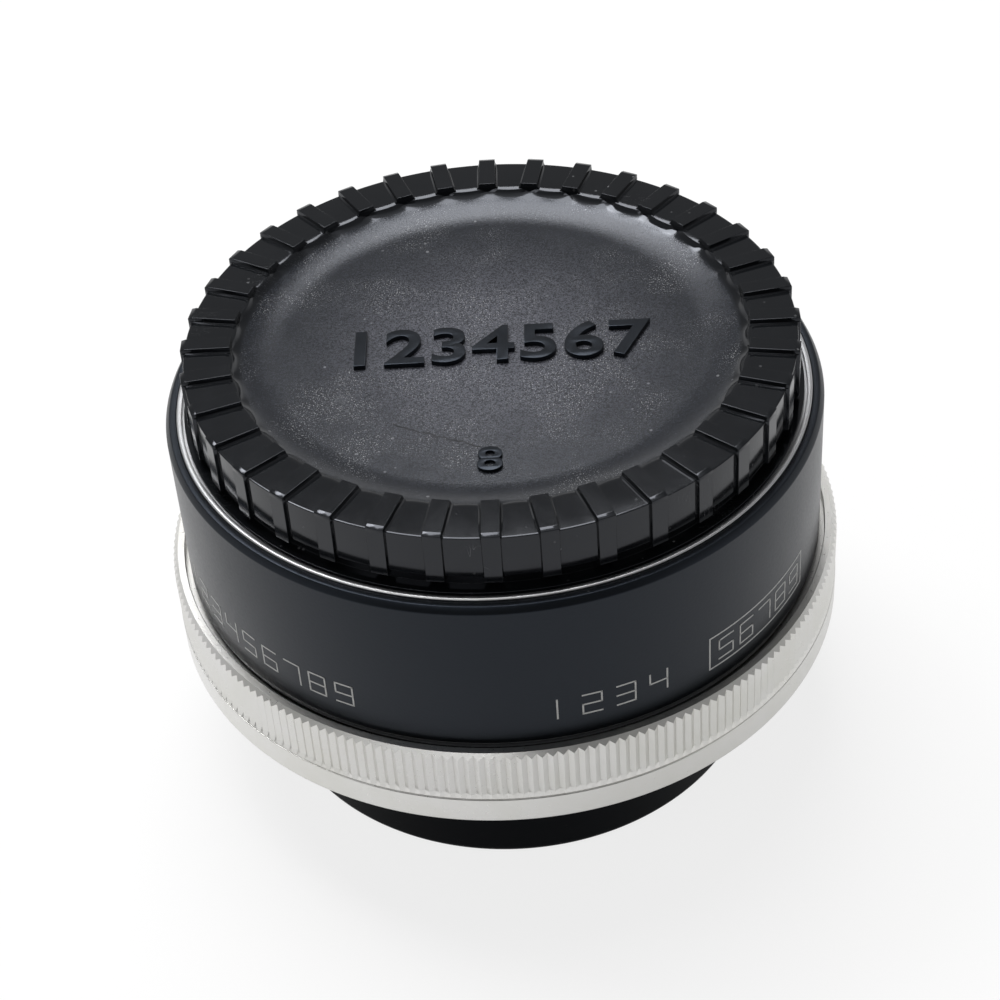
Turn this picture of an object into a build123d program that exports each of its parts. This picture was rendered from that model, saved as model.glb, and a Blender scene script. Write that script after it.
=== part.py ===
from build123d import *
import os
from math import cos, degrees, radians, sin, sqrt

# Camera teleconverter with a breech-lock mount, standing on its rear cap.
# Millimetres; +Z is the optical axis towards the lens, z = 0 is the rear cap's underside.

os.makedirs("parts", exist_ok=True)

# Outside of the converter
ring_radius = 32.7
ring_height = 8.6
ring_stand = 1.7
barrel_height = 16.4
barrel_radius = ring_radius - ring_stand
rear_cap_drop = 13.8

# Bayonet, alike on both sides: the front carries the camera's half, the rear the lens's half
bayonet_inset = 7.0
neck_wall = 1.2
lug_reach = 1.3
rear_throat_step = 0.4
throat_radius = barrel_radius - bayonet_inset
rear_throat_radius = throat_radius + rear_throat_step
neck_radius = throat_radius + neck_wall
lug_radius = neck_radius + lug_reach
lug_thickness = 1.2
lug_count = 3
lug_arc = 56.0
tab_arc = 50.0
breech_turn = 50.0

# Clearances and overrun
seat_fit = 0.03
running_fit = 0.05
cap_fit = 0.15
lug_play = 0.05
overrun = 1.0

# Heights that several pieces share
ring_bottom = rear_cap_drop
ring_top = ring_bottom + ring_height
barrel_bottom = ring_top
barrel_top = barrel_bottom + barrel_height
inner_lug_thickness = 0.95
seat_height = ring_bottom + inner_lug_thickness + lug_play + lug_thickness

lug_bearings = [90.0 + 360.0 / lug_count * turn for turn in range(lug_count)]
gap_bearings = [bearing + 180.0 / lug_count for bearing in lug_bearings]


def sectors(height, inner, outer, arc, bearings):
    """Ring sectors at a height, one centred on each bearing."""
    with BuildSketch(Plane.XY.offset(height)) as faces:
        for bearing in bearings:
            with BuildLine():
                near = CenterArc((0, 0), inner, bearing - arc / 2, arc)
                far = CenterArc((0, 0), outer, bearing - arc / 2, arc)
                Line(near @ 0, far @ 0)
                Line(near @ 1, far @ 1)
            make_face()
    return faces.sketch


def polar(radius, bearing, height):
    """Point at a radius, a bearing in degrees and a height."""
    return (radius * cos(radians(bearing)), radius * sin(radians(bearing)), height)


def screw_body(head_radius, shank_radius, length):
    """Countersunk screw that hangs from the flat of its head at the origin."""
    with BuildPart() as body:
        with BuildSketch(Plane.XZ):
            with BuildLine():
                Polyline(
                    (0, 0),
                    (head_radius, 0),
                    (shank_radius, shank_radius - head_radius),
                    (shank_radius, -length),
                    (0, -length),
                    close=True,
                )
            make_face()
        revolve(axis=Axis.Z)
    return body.part


# Rear flange: tube on which the breech ring turns, with the seat that faces the camera
flange_tube_wall = 2.6
flange_shoulder_reach = 1.6
flange_tube_radius = rear_throat_radius + flange_tube_wall
flange_shoulder_radius = flange_tube_radius + flange_shoulder_reach
flange_shoulder_height = 1.4
spigot_height = 3.4
barrel_foot_step = 0.25
barrel_foot_radius = barrel_radius - barrel_foot_step
ring_recess_depth = 1.0
recess_clearance = 0.2
barrel_foot = ring_top - ring_recess_depth + recess_clearance
flange_top = barrel_foot + spigot_height
flange_edge_bevel = 0.3

# Screws that clamp flange, carrier, baffle and barrel from the rear seat
long_screw_count = 3
long_screw_circle = (rear_throat_radius + flange_tube_radius) / 2
long_screw_head_radius = 1.2
long_screw_shank_radius = 0.75
long_screw_first_bearing = 60.0
barrel_thread_depth = 2.5

# Plate that carries the lever rings, and the baffle over it
carrier_thickness = 1.2
carrier_top = flange_top + carrier_thickness
baffle_height = 5.6
baffle_top = carrier_top + baffle_height
baffle_plate = 0.8

# Front mount: flange let into the barrel, rim, neck and three lugs
barrel_lip = 1.1
mount_radius = barrel_radius - barrel_lip
mount_thickness = 1.5
mount_rim_width = 0.5
rim_rise = 0.2
rim_slope_width = 0.35
rim_slope_drop = 0.15
floor_drop = 0.4
lug_undercut = 1.6
floor_height = barrel_top - floor_drop
rim_height = barrel_top + rim_rise
mount_base = floor_height - mount_thickness
lug_bottom = floor_height + lug_undercut
lug_top = lug_bottom + lug_thickness
mount_edge_bevel = 0.2
front_screw_count = 3
front_screw_circle = (neck_radius + mount_radius - mount_rim_width) / 2
front_screw_head_radius = 1.3
front_screw_shank_radius = 0.7
front_screw_length = 4.2
front_screw_first_bearing = 30.0

# Barrel
barrel_bevel_width = 0.4
barrel_bevel_height = 0.6
barrel_edge_bevel = 0.25
web_clearance = 0.4
dot_radius = 0.9
dot_depth = 0.4
dot_drop = 3.0

front_screw_hole = screw_body(
    front_screw_head_radius + seat_fit, front_screw_shank_radius + seat_fit, front_screw_length + seat_fit
)
front_screw = screw_body(front_screw_head_radius, front_screw_shank_radius, front_screw_length)
long_screw_length = baffle_top + barrel_thread_depth - seat_height
long_screw_hole = screw_body(
    long_screw_head_radius + seat_fit, long_screw_shank_radius + seat_fit, long_screw_length + seat_fit
)
long_screw = screw_body(long_screw_head_radius, long_screw_shank_radius, long_screw_length)
seat_plane = Plane(origin=(0, 0, seat_height), x_dir=(1, 0, 0), z_dir=(0, 0, -1))

with BuildPart() as main_barrel:
    with BuildSketch(Plane.XZ):
        with BuildLine():
            Polyline(
                (flange_tube_radius + seat_fit, barrel_foot),
                (barrel_foot_radius, barrel_foot),
                (barrel_foot_radius, barrel_bottom - barrel_edge_bevel),
                (barrel_radius, barrel_bottom),
                (barrel_radius, barrel_top - barrel_bevel_height),
                (barrel_radius - barrel_bevel_width, barrel_top),
                (mount_radius + seat_fit, barrel_top),
                (mount_radius + seat_fit, mount_base),
                (throat_radius + web_clearance, mount_base),
                (throat_radius + web_clearance, baffle_top),
                (flange_tube_radius + seat_fit, baffle_top),
                close=True,
            )
        make_face()
    revolve(axis=Axis.Z)
    with Locations((0, 0, floor_height)):
        with PolarLocations(front_screw_circle, front_screw_count, start_angle=front_screw_first_bearing):
            add(front_screw_hole, mode=Mode.SUBTRACT)
    with Locations(seat_plane):
        with PolarLocations(long_screw_circle, long_screw_count, start_angle=long_screw_first_bearing):
            add(long_screw_hole, mode=Mode.SUBTRACT)
    with BuildSketch(Plane(origin=(0, barrel_radius - dot_depth, barrel_top - dot_drop), z_dir=(0, 1, 0))):
        Circle(dot_radius + seat_fit)
    extrude(amount=dot_depth + overrun, mode=Mode.SUBTRACT)
main_barrel.part.label = "main_barrel"
export_step(main_barrel.part, "parts/main_barrel.step")

with BuildPart() as front_index_dot:
    with BuildSketch(Plane(origin=(0, barrel_radius - dot_depth, barrel_top - dot_drop), z_dir=(0, 1, 0))):
        Circle(dot_radius)
    extrude(amount=dot_depth)
front_index_dot.part.label = "front_index_dot"
export_step(front_index_dot.part, "parts/front_index_dot.step")

with BuildPart() as front_mount:
    with BuildSketch(Plane.XZ):
        with BuildLine():
            Polyline(
                (throat_radius, mount_base),
                (mount_radius, mount_base),
                (mount_radius, rim_height - rim_slope_drop),
                (mount_radius - rim_slope_width, rim_height),
                (mount_radius - mount_rim_width, rim_height),
                (mount_radius - mount_rim_width, floor_height),
                (neck_radius, floor_height),
                (neck_radius, lug_top),
                (throat_radius + mount_edge_bevel, lug_top),
                (throat_radius, lug_top - mount_edge_bevel),
                close=True,
            )
        make_face()
    revolve(axis=Axis.Z)
    extrude(
        sectors(lug_bottom, (throat_radius + neck_radius) / 2, lug_radius, lug_arc, lug_bearings),
        amount=lug_thickness,
    )
    with Locations((0, 0, floor_height)):
        with PolarLocations(front_screw_circle, front_screw_count, start_angle=front_screw_first_bearing):
            add(front_screw_hole, mode=Mode.SUBTRACT)
front_mount.part.label = "front_mount"
export_step(front_mount.part, "parts/front_mount.step")

with BuildPart() as front_mount_screws:
    with Locations((0, 0, floor_height)):
        with PolarLocations(front_screw_circle, front_screw_count, start_angle=front_screw_first_bearing):
            add(front_screw)
front_mount_screws.part.label = "front_mount_screws"
export_step(front_mount_screws.part, "parts/front_mount_screws.step")

# Breech stop: a pin in the flange tube runs in a slot of the retaining ring
stop_pin_radius = 0.6
stop_pin_depth = 1.1
stop_pin_reach = 1.3
stop_pin_bearing = 20.0
washer_thickness = 0.3
washer_gap = 0.1
retainer_drop = 0.4
washer_bottom = seat_height + flange_shoulder_height
retainer_bottom = washer_bottom + washer_thickness + washer_gap
retainer_height = ring_top - ring_recess_depth - retainer_drop - retainer_bottom
stop_pin_height = retainer_bottom + retainer_height / 2

with BuildPart() as rear_flange:
    with BuildSketch(Plane.XZ):
        with BuildLine():
            Polyline(
                (rear_throat_radius, seat_height + flange_edge_bevel),
                (rear_throat_radius + flange_edge_bevel, seat_height),
                (flange_shoulder_radius, seat_height),
                (flange_shoulder_radius, seat_height + flange_shoulder_height),
                (flange_tube_radius, seat_height + flange_shoulder_height),
                (flange_tube_radius, flange_top),
                (rear_throat_radius, flange_top),
                close=True,
            )
        make_face()
    revolve(axis=Axis.Z)
    with Locations(seat_plane):
        with PolarLocations(long_screw_circle, long_screw_count, start_angle=long_screw_first_bearing):
            add(long_screw_hole, mode=Mode.SUBTRACT)
    with BuildSketch(
        Plane(
            origin=polar(flange_tube_radius - stop_pin_depth, stop_pin_bearing, stop_pin_height),
            z_dir=polar(1, stop_pin_bearing, 0),
        )
    ):
        Circle(stop_pin_radius + seat_fit)
    extrude(amount=stop_pin_depth + overrun, mode=Mode.SUBTRACT)
rear_flange.part.label = "rear_flange"
export_step(rear_flange.part, "parts/rear_flange.step")

with BuildPart() as breech_stop_pin:
    with BuildSketch(
        Plane(
            origin=polar(flange_tube_radius - stop_pin_depth, stop_pin_bearing, stop_pin_height),
            z_dir=polar(1, stop_pin_bearing, 0),
        )
    ):
        Circle(stop_pin_radius)
    extrude(amount=stop_pin_depth + stop_pin_reach)
breech_stop_pin.part.label = "breech_stop_pin"
export_step(breech_stop_pin.part, "parts/breech_stop_pin.step")

with BuildPart() as rear_flange_screws:
    with Locations(seat_plane):
        with PolarLocations(long_screw_circle, long_screw_count, start_angle=long_screw_first_bearing):
            add(long_screw)
rear_flange_screws.part.label = "rear_flange_screws"
export_step(rear_flange_screws.part, "parts/rear_flange_screws.step")

# Breech ring: knurled collar with three inner lugs
ring_bore_radius = flange_shoulder_radius + cap_fit
ring_edge_bevel = 0.3
ring_recess_gap = 0.5
ring_recess_radius = barrel_radius + ring_recess_gap
ring_top_bevel = 0.5
plain_band_height = 3.1
plain_band_stand = 0.05
knurl_count = 200
knurl_depth = 0.3
inner_lug_reach = neck_radius + cap_fit
plain_band_radius = ring_radius + plain_band_stand
knurl_outline = []
for tooth in range(knurl_count):
    knurl_outline.append(polar(ring_radius, 360.0 / knurl_count * tooth, 0)[:2])
    knurl_outline.append(polar(ring_radius - knurl_depth, 360.0 / knurl_count * (tooth + 1 / 2), 0)[:2])

knurl_bottom = ring_bottom + plain_band_height
knurl_top = ring_top - ring_top_bevel

# The top bevel cuts every tooth to a point
with BuildPart() as bevelled_teeth:
    with BuildSketch(Plane.XY.offset(knurl_top)):
        Polygon(*knurl_outline, align=None)
    extrude(amount=ring_top_bevel)
    with BuildSketch(Plane.XY.offset(knurl_top)):
        RegularPolygon(ring_radius, 2 * knurl_count)
    with BuildSketch(Plane.XY.offset(ring_top)):
        RegularPolygon(ring_radius - ring_top_bevel, 2 * knurl_count)
    loft(ruled=True, mode=Mode.INTERSECT)

with BuildPart() as breech_ring:
    with BuildSketch(Plane.XY.offset(ring_bottom)):
        Circle(plain_band_radius)
    extrude(amount=plain_band_height)
    chamfer(breech_ring.faces().sort_by(Axis.Z)[0].edges(), ring_edge_bevel)
    with BuildSketch(Plane.XY.offset(knurl_bottom)):
        Polygon(*knurl_outline, align=None)
    extrude(amount=knurl_top - knurl_bottom)
    add(bevelled_teeth.part)
    with BuildSketch(Plane.XZ):
        with BuildLine():
            Polyline(
                (0, ring_bottom),
                (ring_bore_radius, ring_bottom),
                (ring_bore_radius, ring_top - ring_recess_depth),
                (ring_recess_radius, ring_top - ring_recess_depth),
                (ring_recess_radius, ring_top),
                (0, ring_top),
                close=True,
            )
        make_face()
    revolve(axis=Axis.Z, mode=Mode.SUBTRACT)
    extrude(
        sectors(ring_bottom, inner_lug_reach, ring_bore_radius + overrun, lug_arc, lug_bearings),
        amount=inner_lug_thickness,
    )
    with BuildSketch(
        Plane(
            origin=(0, plain_band_radius - dot_depth, ring_bottom + plain_band_height / 2),
            z_dir=(0, 1, 0),
        )
    ):
        Circle(dot_radius + seat_fit)
    extrude(amount=dot_depth + overrun, mode=Mode.SUBTRACT)
breech_ring.part.label = "breech_ring"
export_step(breech_ring.part, "parts/breech_ring.step")

with BuildPart() as ring_index_dot:
    with BuildSketch(
        Plane(
            origin=(0, plain_band_radius - dot_depth, ring_bottom + plain_band_height / 2),
            z_dir=(0, 1, 0),
        )
    ):
        Circle(dot_radius)
    extrude(amount=dot_depth)
ring_index_dot.part.label = "ring_index_dot"
export_step(ring_index_dot.part, "parts/ring_index_dot.step")

# Washer and threaded ring that hold the breech ring on the flange
stop_slot_radius = flange_tube_radius + stop_pin_reach + running_fit
stop_slot_margin = 0.5

with BuildPart() as friction_washer:
    with BuildSketch(Plane.XY.offset(washer_bottom)):
        Circle(flange_shoulder_radius - running_fit)
        Circle(flange_tube_radius + running_fit, mode=Mode.SUBTRACT)
    extrude(amount=washer_thickness)
friction_washer.part.label = "friction_washer"
export_step(friction_washer.part, "parts/friction_washer.step")

stop_pin_arc = degrees(2 * stop_pin_radius / flange_tube_radius) + 2 * stop_slot_margin
stop_slot_arc = breech_turn + stop_pin_arc
stop_slot_middle = stop_pin_bearing - breech_turn / 2

with BuildPart() as breech_retaining_ring:
    with BuildSketch(Plane.XY.offset(retainer_bottom)):
        Circle(ring_bore_radius - seat_fit)
        Circle(flange_tube_radius + running_fit, mode=Mode.SUBTRACT)
    extrude(amount=retainer_height)
    extrude(
        sectors(
            stop_pin_height - stop_pin_radius - running_fit,
            throat_radius,
            stop_slot_radius,
            stop_slot_arc,
            [stop_slot_middle],
        ),
        amount=retainer_height,
        mode=Mode.SUBTRACT,
    )
breech_retaining_ring.part.label = "breech_retaining_ring"
export_step(breech_retaining_ring.part, "parts/breech_retaining_ring.step")

# Optical cell: black tube with a flange under the carrier
cell_inset = 7.4
cell_flange_reach = 1.1
cell_radius = throat_radius - cell_inset
cell_flange_radius = cell_radius + cell_flange_reach
cell_flange_height = 1.0
cell_front_rise = 0.2
cell_length = 19.0
cell_top = baffle_top + cell_front_rise
cell_bottom = cell_top - cell_length
cell_flange_bottom = flange_top - cell_flange_height
front_cell_wall = 1.2
rear_cell_wall = 2.2
stop_land_width = 3.0
lens_rim_width = 2.0
front_bore_radius = cell_radius - front_cell_wall
front_seat_depth = 7.4
stop_land_height = 1.6
stop_bore_radius = cell_radius - stop_land_width
rear_bore_radius = cell_radius - rear_cell_wall
front_seat = cell_top - front_seat_depth
rear_seat = front_seat - stop_land_height
cell_edge_bevel = 0.3

with BuildPart() as lens_cell:
    with BuildSketch(Plane.XZ):
        with BuildLine():
            Polyline(
                (rear_bore_radius, cell_bottom),
                (cell_radius, cell_bottom),
                (cell_radius, cell_flange_bottom),
                (cell_flange_radius, cell_flange_bottom),
                (cell_flange_radius, flange_top),
                (cell_radius, flange_top),
                (cell_radius, cell_top - cell_edge_bevel),
                (cell_radius - cell_edge_bevel, cell_top),
                (front_bore_radius, cell_top),
                (front_bore_radius, front_seat),
                (stop_bore_radius, front_seat),
                (stop_bore_radius, rear_seat),
                (rear_bore_radius, rear_seat),
                close=True,
            )
        make_face()
    revolve(axis=Axis.Z)
lens_cell.part.label = "lens_cell"
export_step(lens_cell.part, "parts/lens_cell.step")


def half_width_height(clear, bulge):
    """Height of a spherical face, of a given bulge, at half its clear radius."""
    sphere = (clear * clear + bulge * bulge) / (2 * abs(bulge))
    sag = sphere - sqrt(sphere * sphere - clear * clear / 4)
    return bulge - sag if bulge > 0 else bulge + sag


def lens_section(back, front, rim, clear, back_bulge, front_bulge):
    """Half section of a lens: flat rim, spherical faces that bulge out or, if negative, in."""
    with BuildSketch(Plane.XZ) as section:
        with BuildLine():
            ThreePointArc(
                (0, back - back_bulge),
                (clear / 2, back - half_width_height(clear, back_bulge)),
                (clear, back),
            )
            Polyline((clear, back), (rim, back), (rim, front), (clear, front))
            ThreePointArc(
                (clear, front),
                (clear / 2, front + half_width_height(clear, front_bulge)),
                (0, front + front_bulge),
            )
            Line((0, front + front_bulge), (0, back - back_bulge))
        make_face()
    return section.sketch


# Front group, from its seat outwards
front_group_rim = front_bore_radius - seat_fit
front_group_clear = front_bore_radius - lens_rim_width
second_lens_edge = 2.2
second_lens_back_bulge = 1.1
second_lens_front_bulge = -0.9
front_spacer_height = 1.4
front_lens_edge = 2.4
front_lens_back_bulge = -0.8
front_lens_front_bulge = 0.9
group_ring_width = 1.6
second_lens_front = front_seat + second_lens_edge
front_lens_back = second_lens_front + front_spacer_height
front_lens_front = front_lens_back + front_lens_edge

with BuildPart() as second_lens:
    revolve(
        lens_section(
            front_seat, second_lens_front, front_group_rim, front_group_clear,
            second_lens_back_bulge, second_lens_front_bulge,
        ),
        axis=Axis.Z,
    )
second_lens.part.label = "second_lens"
export_step(second_lens.part, "parts/second_lens.step")

with BuildPart() as front_lens_spacer:
    with BuildSketch(Plane.XY.offset(second_lens_front)):
        Circle(front_group_rim)
        Circle(front_bore_radius - group_ring_width, mode=Mode.SUBTRACT)
    extrude(amount=front_spacer_height)
front_lens_spacer.part.label = "front_lens_spacer"
export_step(front_lens_spacer.part, "parts/front_lens_spacer.step")

with BuildPart() as front_lens:
    revolve(
        lens_section(
            front_lens_back, front_lens_front, front_group_rim, front_group_clear,
            front_lens_back_bulge, front_lens_front_bulge,
        ),
        axis=Axis.Z,
    )
front_lens.part.label = "front_lens"
export_step(front_lens.part, "parts/front_lens.step")

spanner_slot_width = 1.2
spanner_slot_depth = 0.5

with BuildPart() as front_retaining_ring:
    with BuildSketch(Plane.XY.offset(front_lens_front)):
        Circle(front_group_rim)
        Circle(front_bore_radius - group_ring_width, mode=Mode.SUBTRACT)
    extrude(amount=cell_top - cell_edge_bevel - front_lens_front)
    with BuildSketch(Plane.XY.offset(cell_top - cell_edge_bevel)):
        Rectangle(2 * front_bore_radius + overrun, spanner_slot_width)
    extrude(amount=-spanner_slot_depth, mode=Mode.SUBTRACT)
front_retaining_ring.part.label = "front_retaining_ring"
export_step(front_retaining_ring.part, "parts/front_retaining_ring.step")

# Rear group, from its seat down
rear_group_rim = rear_bore_radius - seat_fit
rear_group_clear = rear_bore_radius - lens_rim_width
third_lens_edge = 2.4
third_lens_front_bulge = -0.7
third_lens_back_bulge = 0.9
rear_spacer_height = 1.4
rear_lens_edge = 2.6
rear_lens_front_bulge = -0.8
rear_lens_back_bulge = -0.6
rear_retainer_height = 1.4
third_lens_back = rear_seat - third_lens_edge
rear_lens_front = third_lens_back - rear_spacer_height
rear_lens_back = rear_lens_front - rear_lens_edge

with BuildPart() as third_lens:
    revolve(
        lens_section(
            third_lens_back, rear_seat, rear_group_rim, rear_group_clear,
            third_lens_back_bulge, third_lens_front_bulge,
        ),
        axis=Axis.Z,
    )
third_lens.part.label = "third_lens"
export_step(third_lens.part, "parts/third_lens.step")

with BuildPart() as rear_lens_spacer:
    with BuildSketch(Plane.XY.offset(rear_lens_front)):
        Circle(rear_group_rim)
        Circle(rear_bore_radius - group_ring_width, mode=Mode.SUBTRACT)
    extrude(amount=rear_spacer_height)
rear_lens_spacer.part.label = "rear_lens_spacer"
export_step(rear_lens_spacer.part, "parts/rear_lens_spacer.step")

with BuildPart() as rear_lens:
    revolve(
        lens_section(
            rear_lens_back, rear_lens_front, rear_group_rim, rear_group_clear,
            rear_lens_back_bulge, rear_lens_front_bulge,
        ),
        axis=Axis.Z,
    )
rear_lens.part.label = "rear_lens"
export_step(rear_lens.part, "parts/rear_lens.step")

with BuildPart() as rear_retaining_ring:
    with BuildSketch(Plane.XY.offset(rear_lens_back)):
        Circle(rear_group_rim)
        Circle(rear_bore_radius - group_ring_width, mode=Mode.SUBTRACT)
    extrude(amount=-rear_retainer_height)
    with BuildSketch(Plane.XY.offset(rear_lens_back - rear_retainer_height)):
        Rectangle(2 * rear_bore_radius + overrun, spanner_slot_width)
    extrude(amount=spanner_slot_depth, mode=Mode.SUBTRACT)
rear_retaining_ring.part.label = "rear_retaining_ring"
export_step(rear_retaining_ring.part, "parts/rear_retaining_ring.step")

# Shroud that guards the rear glass
shroud_extension = 3.3
shroud_lip_width = 2.0
shroud_lip_height = 1.2
shroud_bottom = cell_bottom - shroud_extension

with BuildPart() as rear_shroud:
    with BuildSketch(Plane.XZ):
        with BuildLine():
            Polyline(
                (cell_radius - shroud_lip_width, shroud_bottom),
                (cell_flange_radius, shroud_bottom),
                (cell_flange_radius, cell_flange_bottom),
                (cell_radius + seat_fit, cell_flange_bottom),
                (cell_radius + seat_fit, cell_bottom),
                (cell_radius, shroud_bottom + shroud_lip_height),
                (cell_radius - shroud_lip_width, shroud_bottom + shroud_lip_height),
                close=True,
            )
        make_face()
    revolve(axis=Axis.Z)
rear_shroud.part.label = "rear_shroud"
export_step(rear_shroud.part, "parts/rear_shroud.step")

# Lever rings: the inner one drives the diaphragm, the outer one carries the aperture signal
lever_ring_height = 1.75
lever_float = 0.05
lever_ring_bottom = carrier_top + lever_float
lever_ring_top = lever_ring_bottom + lever_ring_height
diaphragm_bore = cell_radius + running_fit
diaphragm_ring_width = 2.2
diaphragm_outer = diaphragm_bore + diaphragm_ring_width
guide_rim_inner = diaphragm_outer + 2 * running_fit
guide_rim_width = 1.2
guide_rim_outer = guide_rim_inner + guide_rim_width
signal_bore = guide_rim_outer + running_fit
signal_ring_width = 1.2
signal_outer = signal_bore + signal_ring_width
lever_thickness = 0.9
lever_arc = 9.0
lever_slot_margin = 0.12
lever_slot_arc_margin = 1.0
diaphragm_turn = 22.0
diaphragm_bearing = 250.0
diaphragm_front_reach = 6.8
diaphragm_rear_reach = 18.2
signal_turn = 28.0
signal_bearing = 150.0
signal_front_reach = 5.6
signal_rear_reach = 17.0
spring_stud_radius = 0.4
spring_stud_height = 1.9

# Return springs of the lever rings, each hooked between a stud on its ring and one on the rim
spring_wire_radius = 0.13
spring_coil_radius = 0.55
spring_turns = 7
coil_points_per_turn = 6
spring_lift = 1.45
diaphragm_stud_bearing = 232.0
diaphragm_spring_span = 14.8
signal_stud_bearing = 125.0
signal_spring_span = 14.1
diaphragm_stud_circle = diaphragm_bore + diaphragm_ring_width / 2
signal_stud_circle = signal_bore + signal_ring_width / 2
rim_stud_circle = (guide_rim_inner + guide_rim_outer) / 2
diaphragm_spring_arc = degrees(diaphragm_spring_span / rim_stud_circle)
signal_spring_arc = degrees(signal_spring_span / rim_stud_circle)

# Screws on the guide rim whose heads keep both lever rings down
guide_screw_count = 3
guide_screw_first_bearing = 90.0
guide_screw_head_radius = 1.1
guide_screw_head_height = 0.45
guide_screw_shank_radius = 0.4
guide_screw_depth = 2.4
guide_rim_top = lever_ring_top + lever_float

# Sliding aperture pin in its guide on the carrier
pin_inset = 1.4
pin_circle = throat_radius - pin_inset
pin_bearing = 30.0
pin_radius = 0.6
pin_rear_reach = 13.0
pin_front_reach = 3.0
pin_collar_radius = 0.95
pin_collar_height = 0.7
pin_guide_radius = 1.2
pin_guide_length = 2.0
pin_spring_radius = 0.78
pin_spring_wire = 0.12
pin_spring_turns = 4
pin_center = polar(pin_circle, pin_bearing, 0)

with BuildPart() as ring_carrier:
    with BuildSketch(Plane.XY.offset(flange_top)):
        Circle(flange_tube_radius)
    extrude(amount=carrier_thickness)
    with BuildSketch(Plane.XY.offset(flange_top)):
        Circle(guide_rim_outer)
    extrude(amount=guide_rim_top - flange_top)
    with BuildSketch(Plane.XY.offset(carrier_top)):
        Circle(guide_rim_inner)
    extrude(amount=guide_rim_top, mode=Mode.SUBTRACT)
    with BuildSketch(Plane.XY.offset(flange_top - pin_guide_length)):
        with Locations(pin_center[:2]):
            Circle(pin_guide_radius)
    extrude(amount=pin_guide_length)
    with BuildSketch(Plane.XY.offset(guide_rim_top)):
        with Locations(
            polar(rim_stud_circle, diaphragm_stud_bearing - diaphragm_spring_arc, 0)[:2],
            polar(rim_stud_circle, signal_stud_bearing - signal_spring_arc, 0)[:2],
        ):
            Circle(spring_stud_radius)
    extrude(amount=spring_stud_height)
    with BuildSketch(Plane.XY.offset(flange_top)):
        Circle(cell_radius + seat_fit)
    extrude(amount=guide_rim_top, mode=Mode.SUBTRACT)
    with BuildSketch(Plane.XY.offset(flange_top - pin_guide_length)):
        with Locations(pin_center[:2]):
            Circle(pin_radius + running_fit)
    extrude(amount=guide_rim_top, mode=Mode.SUBTRACT)
    extrude(
        sectors(
            flange_top,
            diaphragm_outer - lever_thickness - lever_slot_margin,
            diaphragm_outer + running_fit,
            lever_arc + diaphragm_turn + 2 * lever_slot_arc_margin,
            [diaphragm_bearing + diaphragm_turn / 2],
        ),
        amount=carrier_thickness,
        mode=Mode.SUBTRACT,
    )
    extrude(
        sectors(
            flange_top,
            signal_outer - lever_thickness - lever_slot_margin,
            signal_outer + lever_slot_margin,
            lever_arc + signal_turn + 2 * lever_slot_arc_margin,
            [signal_bearing + signal_turn / 2],
        ),
        amount=carrier_thickness,
        mode=Mode.SUBTRACT,
    )
    with BuildSketch(Plane.XY.offset(guide_rim_top)):
        with PolarLocations(rim_stud_circle, guide_screw_count, start_angle=guide_screw_first_bearing):
            Circle(guide_screw_shank_radius + seat_fit)
    extrude(amount=-guide_screw_depth - seat_fit, mode=Mode.SUBTRACT)
    with Locations(seat_plane):
        with PolarLocations(long_screw_circle, long_screw_count, start_angle=long_screw_first_bearing):
            add(long_screw_hole, mode=Mode.SUBTRACT)
ring_carrier.part.label = "ring_carrier"
export_step(ring_carrier.part, "parts/ring_carrier.step")

with BuildPart() as lever_guide_screws:
    with BuildSketch(Plane.XY.offset(guide_rim_top)):
        with PolarLocations(rim_stud_circle, guide_screw_count, start_angle=guide_screw_first_bearing):
            Circle(guide_screw_shank_radius)
    extrude(amount=-guide_screw_depth)
    with BuildSketch(Plane.XY.offset(guide_rim_top)):
        with PolarLocations(rim_stud_circle, guide_screw_count, start_angle=guide_screw_first_bearing):
            Circle(guide_screw_head_radius)
    extrude(amount=guide_screw_head_height)
lever_guide_screws.part.label = "lever_guide_screws"
export_step(lever_guide_screws.part, "parts/lever_guide_screws.step")

with BuildPart() as diaphragm_ring:
    with BuildSketch(Plane.XY.offset(lever_ring_bottom)):
        Circle(diaphragm_outer)
        Circle(diaphragm_bore, mode=Mode.SUBTRACT)
    extrude(amount=lever_ring_height)
    extrude(
        sectors(
            lever_ring_bottom - diaphragm_rear_reach,
            diaphragm_outer - lever_thickness,
            diaphragm_outer,
            lever_arc,
            [diaphragm_bearing],
        ),
        amount=diaphragm_rear_reach + lever_ring_height + diaphragm_front_reach,
    )
    with BuildSketch(Plane.XY.offset(lever_ring_top)):
        with Locations(polar(diaphragm_stud_circle, diaphragm_stud_bearing, 0)[:2]):
            Circle(spring_stud_radius)
    extrude(amount=spring_stud_height)
diaphragm_ring.part.label = "diaphragm_ring"
export_step(diaphragm_ring.part, "parts/diaphragm_ring.step")

with BuildPart() as signal_ring:
    with BuildSketch(Plane.XY.offset(lever_ring_bottom)):
        Circle(signal_outer)
        Circle(signal_bore, mode=Mode.SUBTRACT)
    extrude(amount=lever_ring_height)
    extrude(
        sectors(
            lever_ring_bottom - signal_rear_reach,
            signal_outer - lever_thickness,
            signal_outer,
            lever_arc,
            [signal_bearing],
        ),
        amount=signal_rear_reach + lever_ring_height + signal_front_reach,
    )
    with BuildSketch(Plane.XY.offset(lever_ring_top)):
        with Locations(polar(signal_stud_circle, signal_stud_bearing, 0)[:2]):
            Circle(spring_stud_radius)
    extrude(amount=spring_stud_height)
signal_ring.part.label = "signal_ring"
export_step(signal_ring.part, "parts/signal_ring.step")


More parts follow.
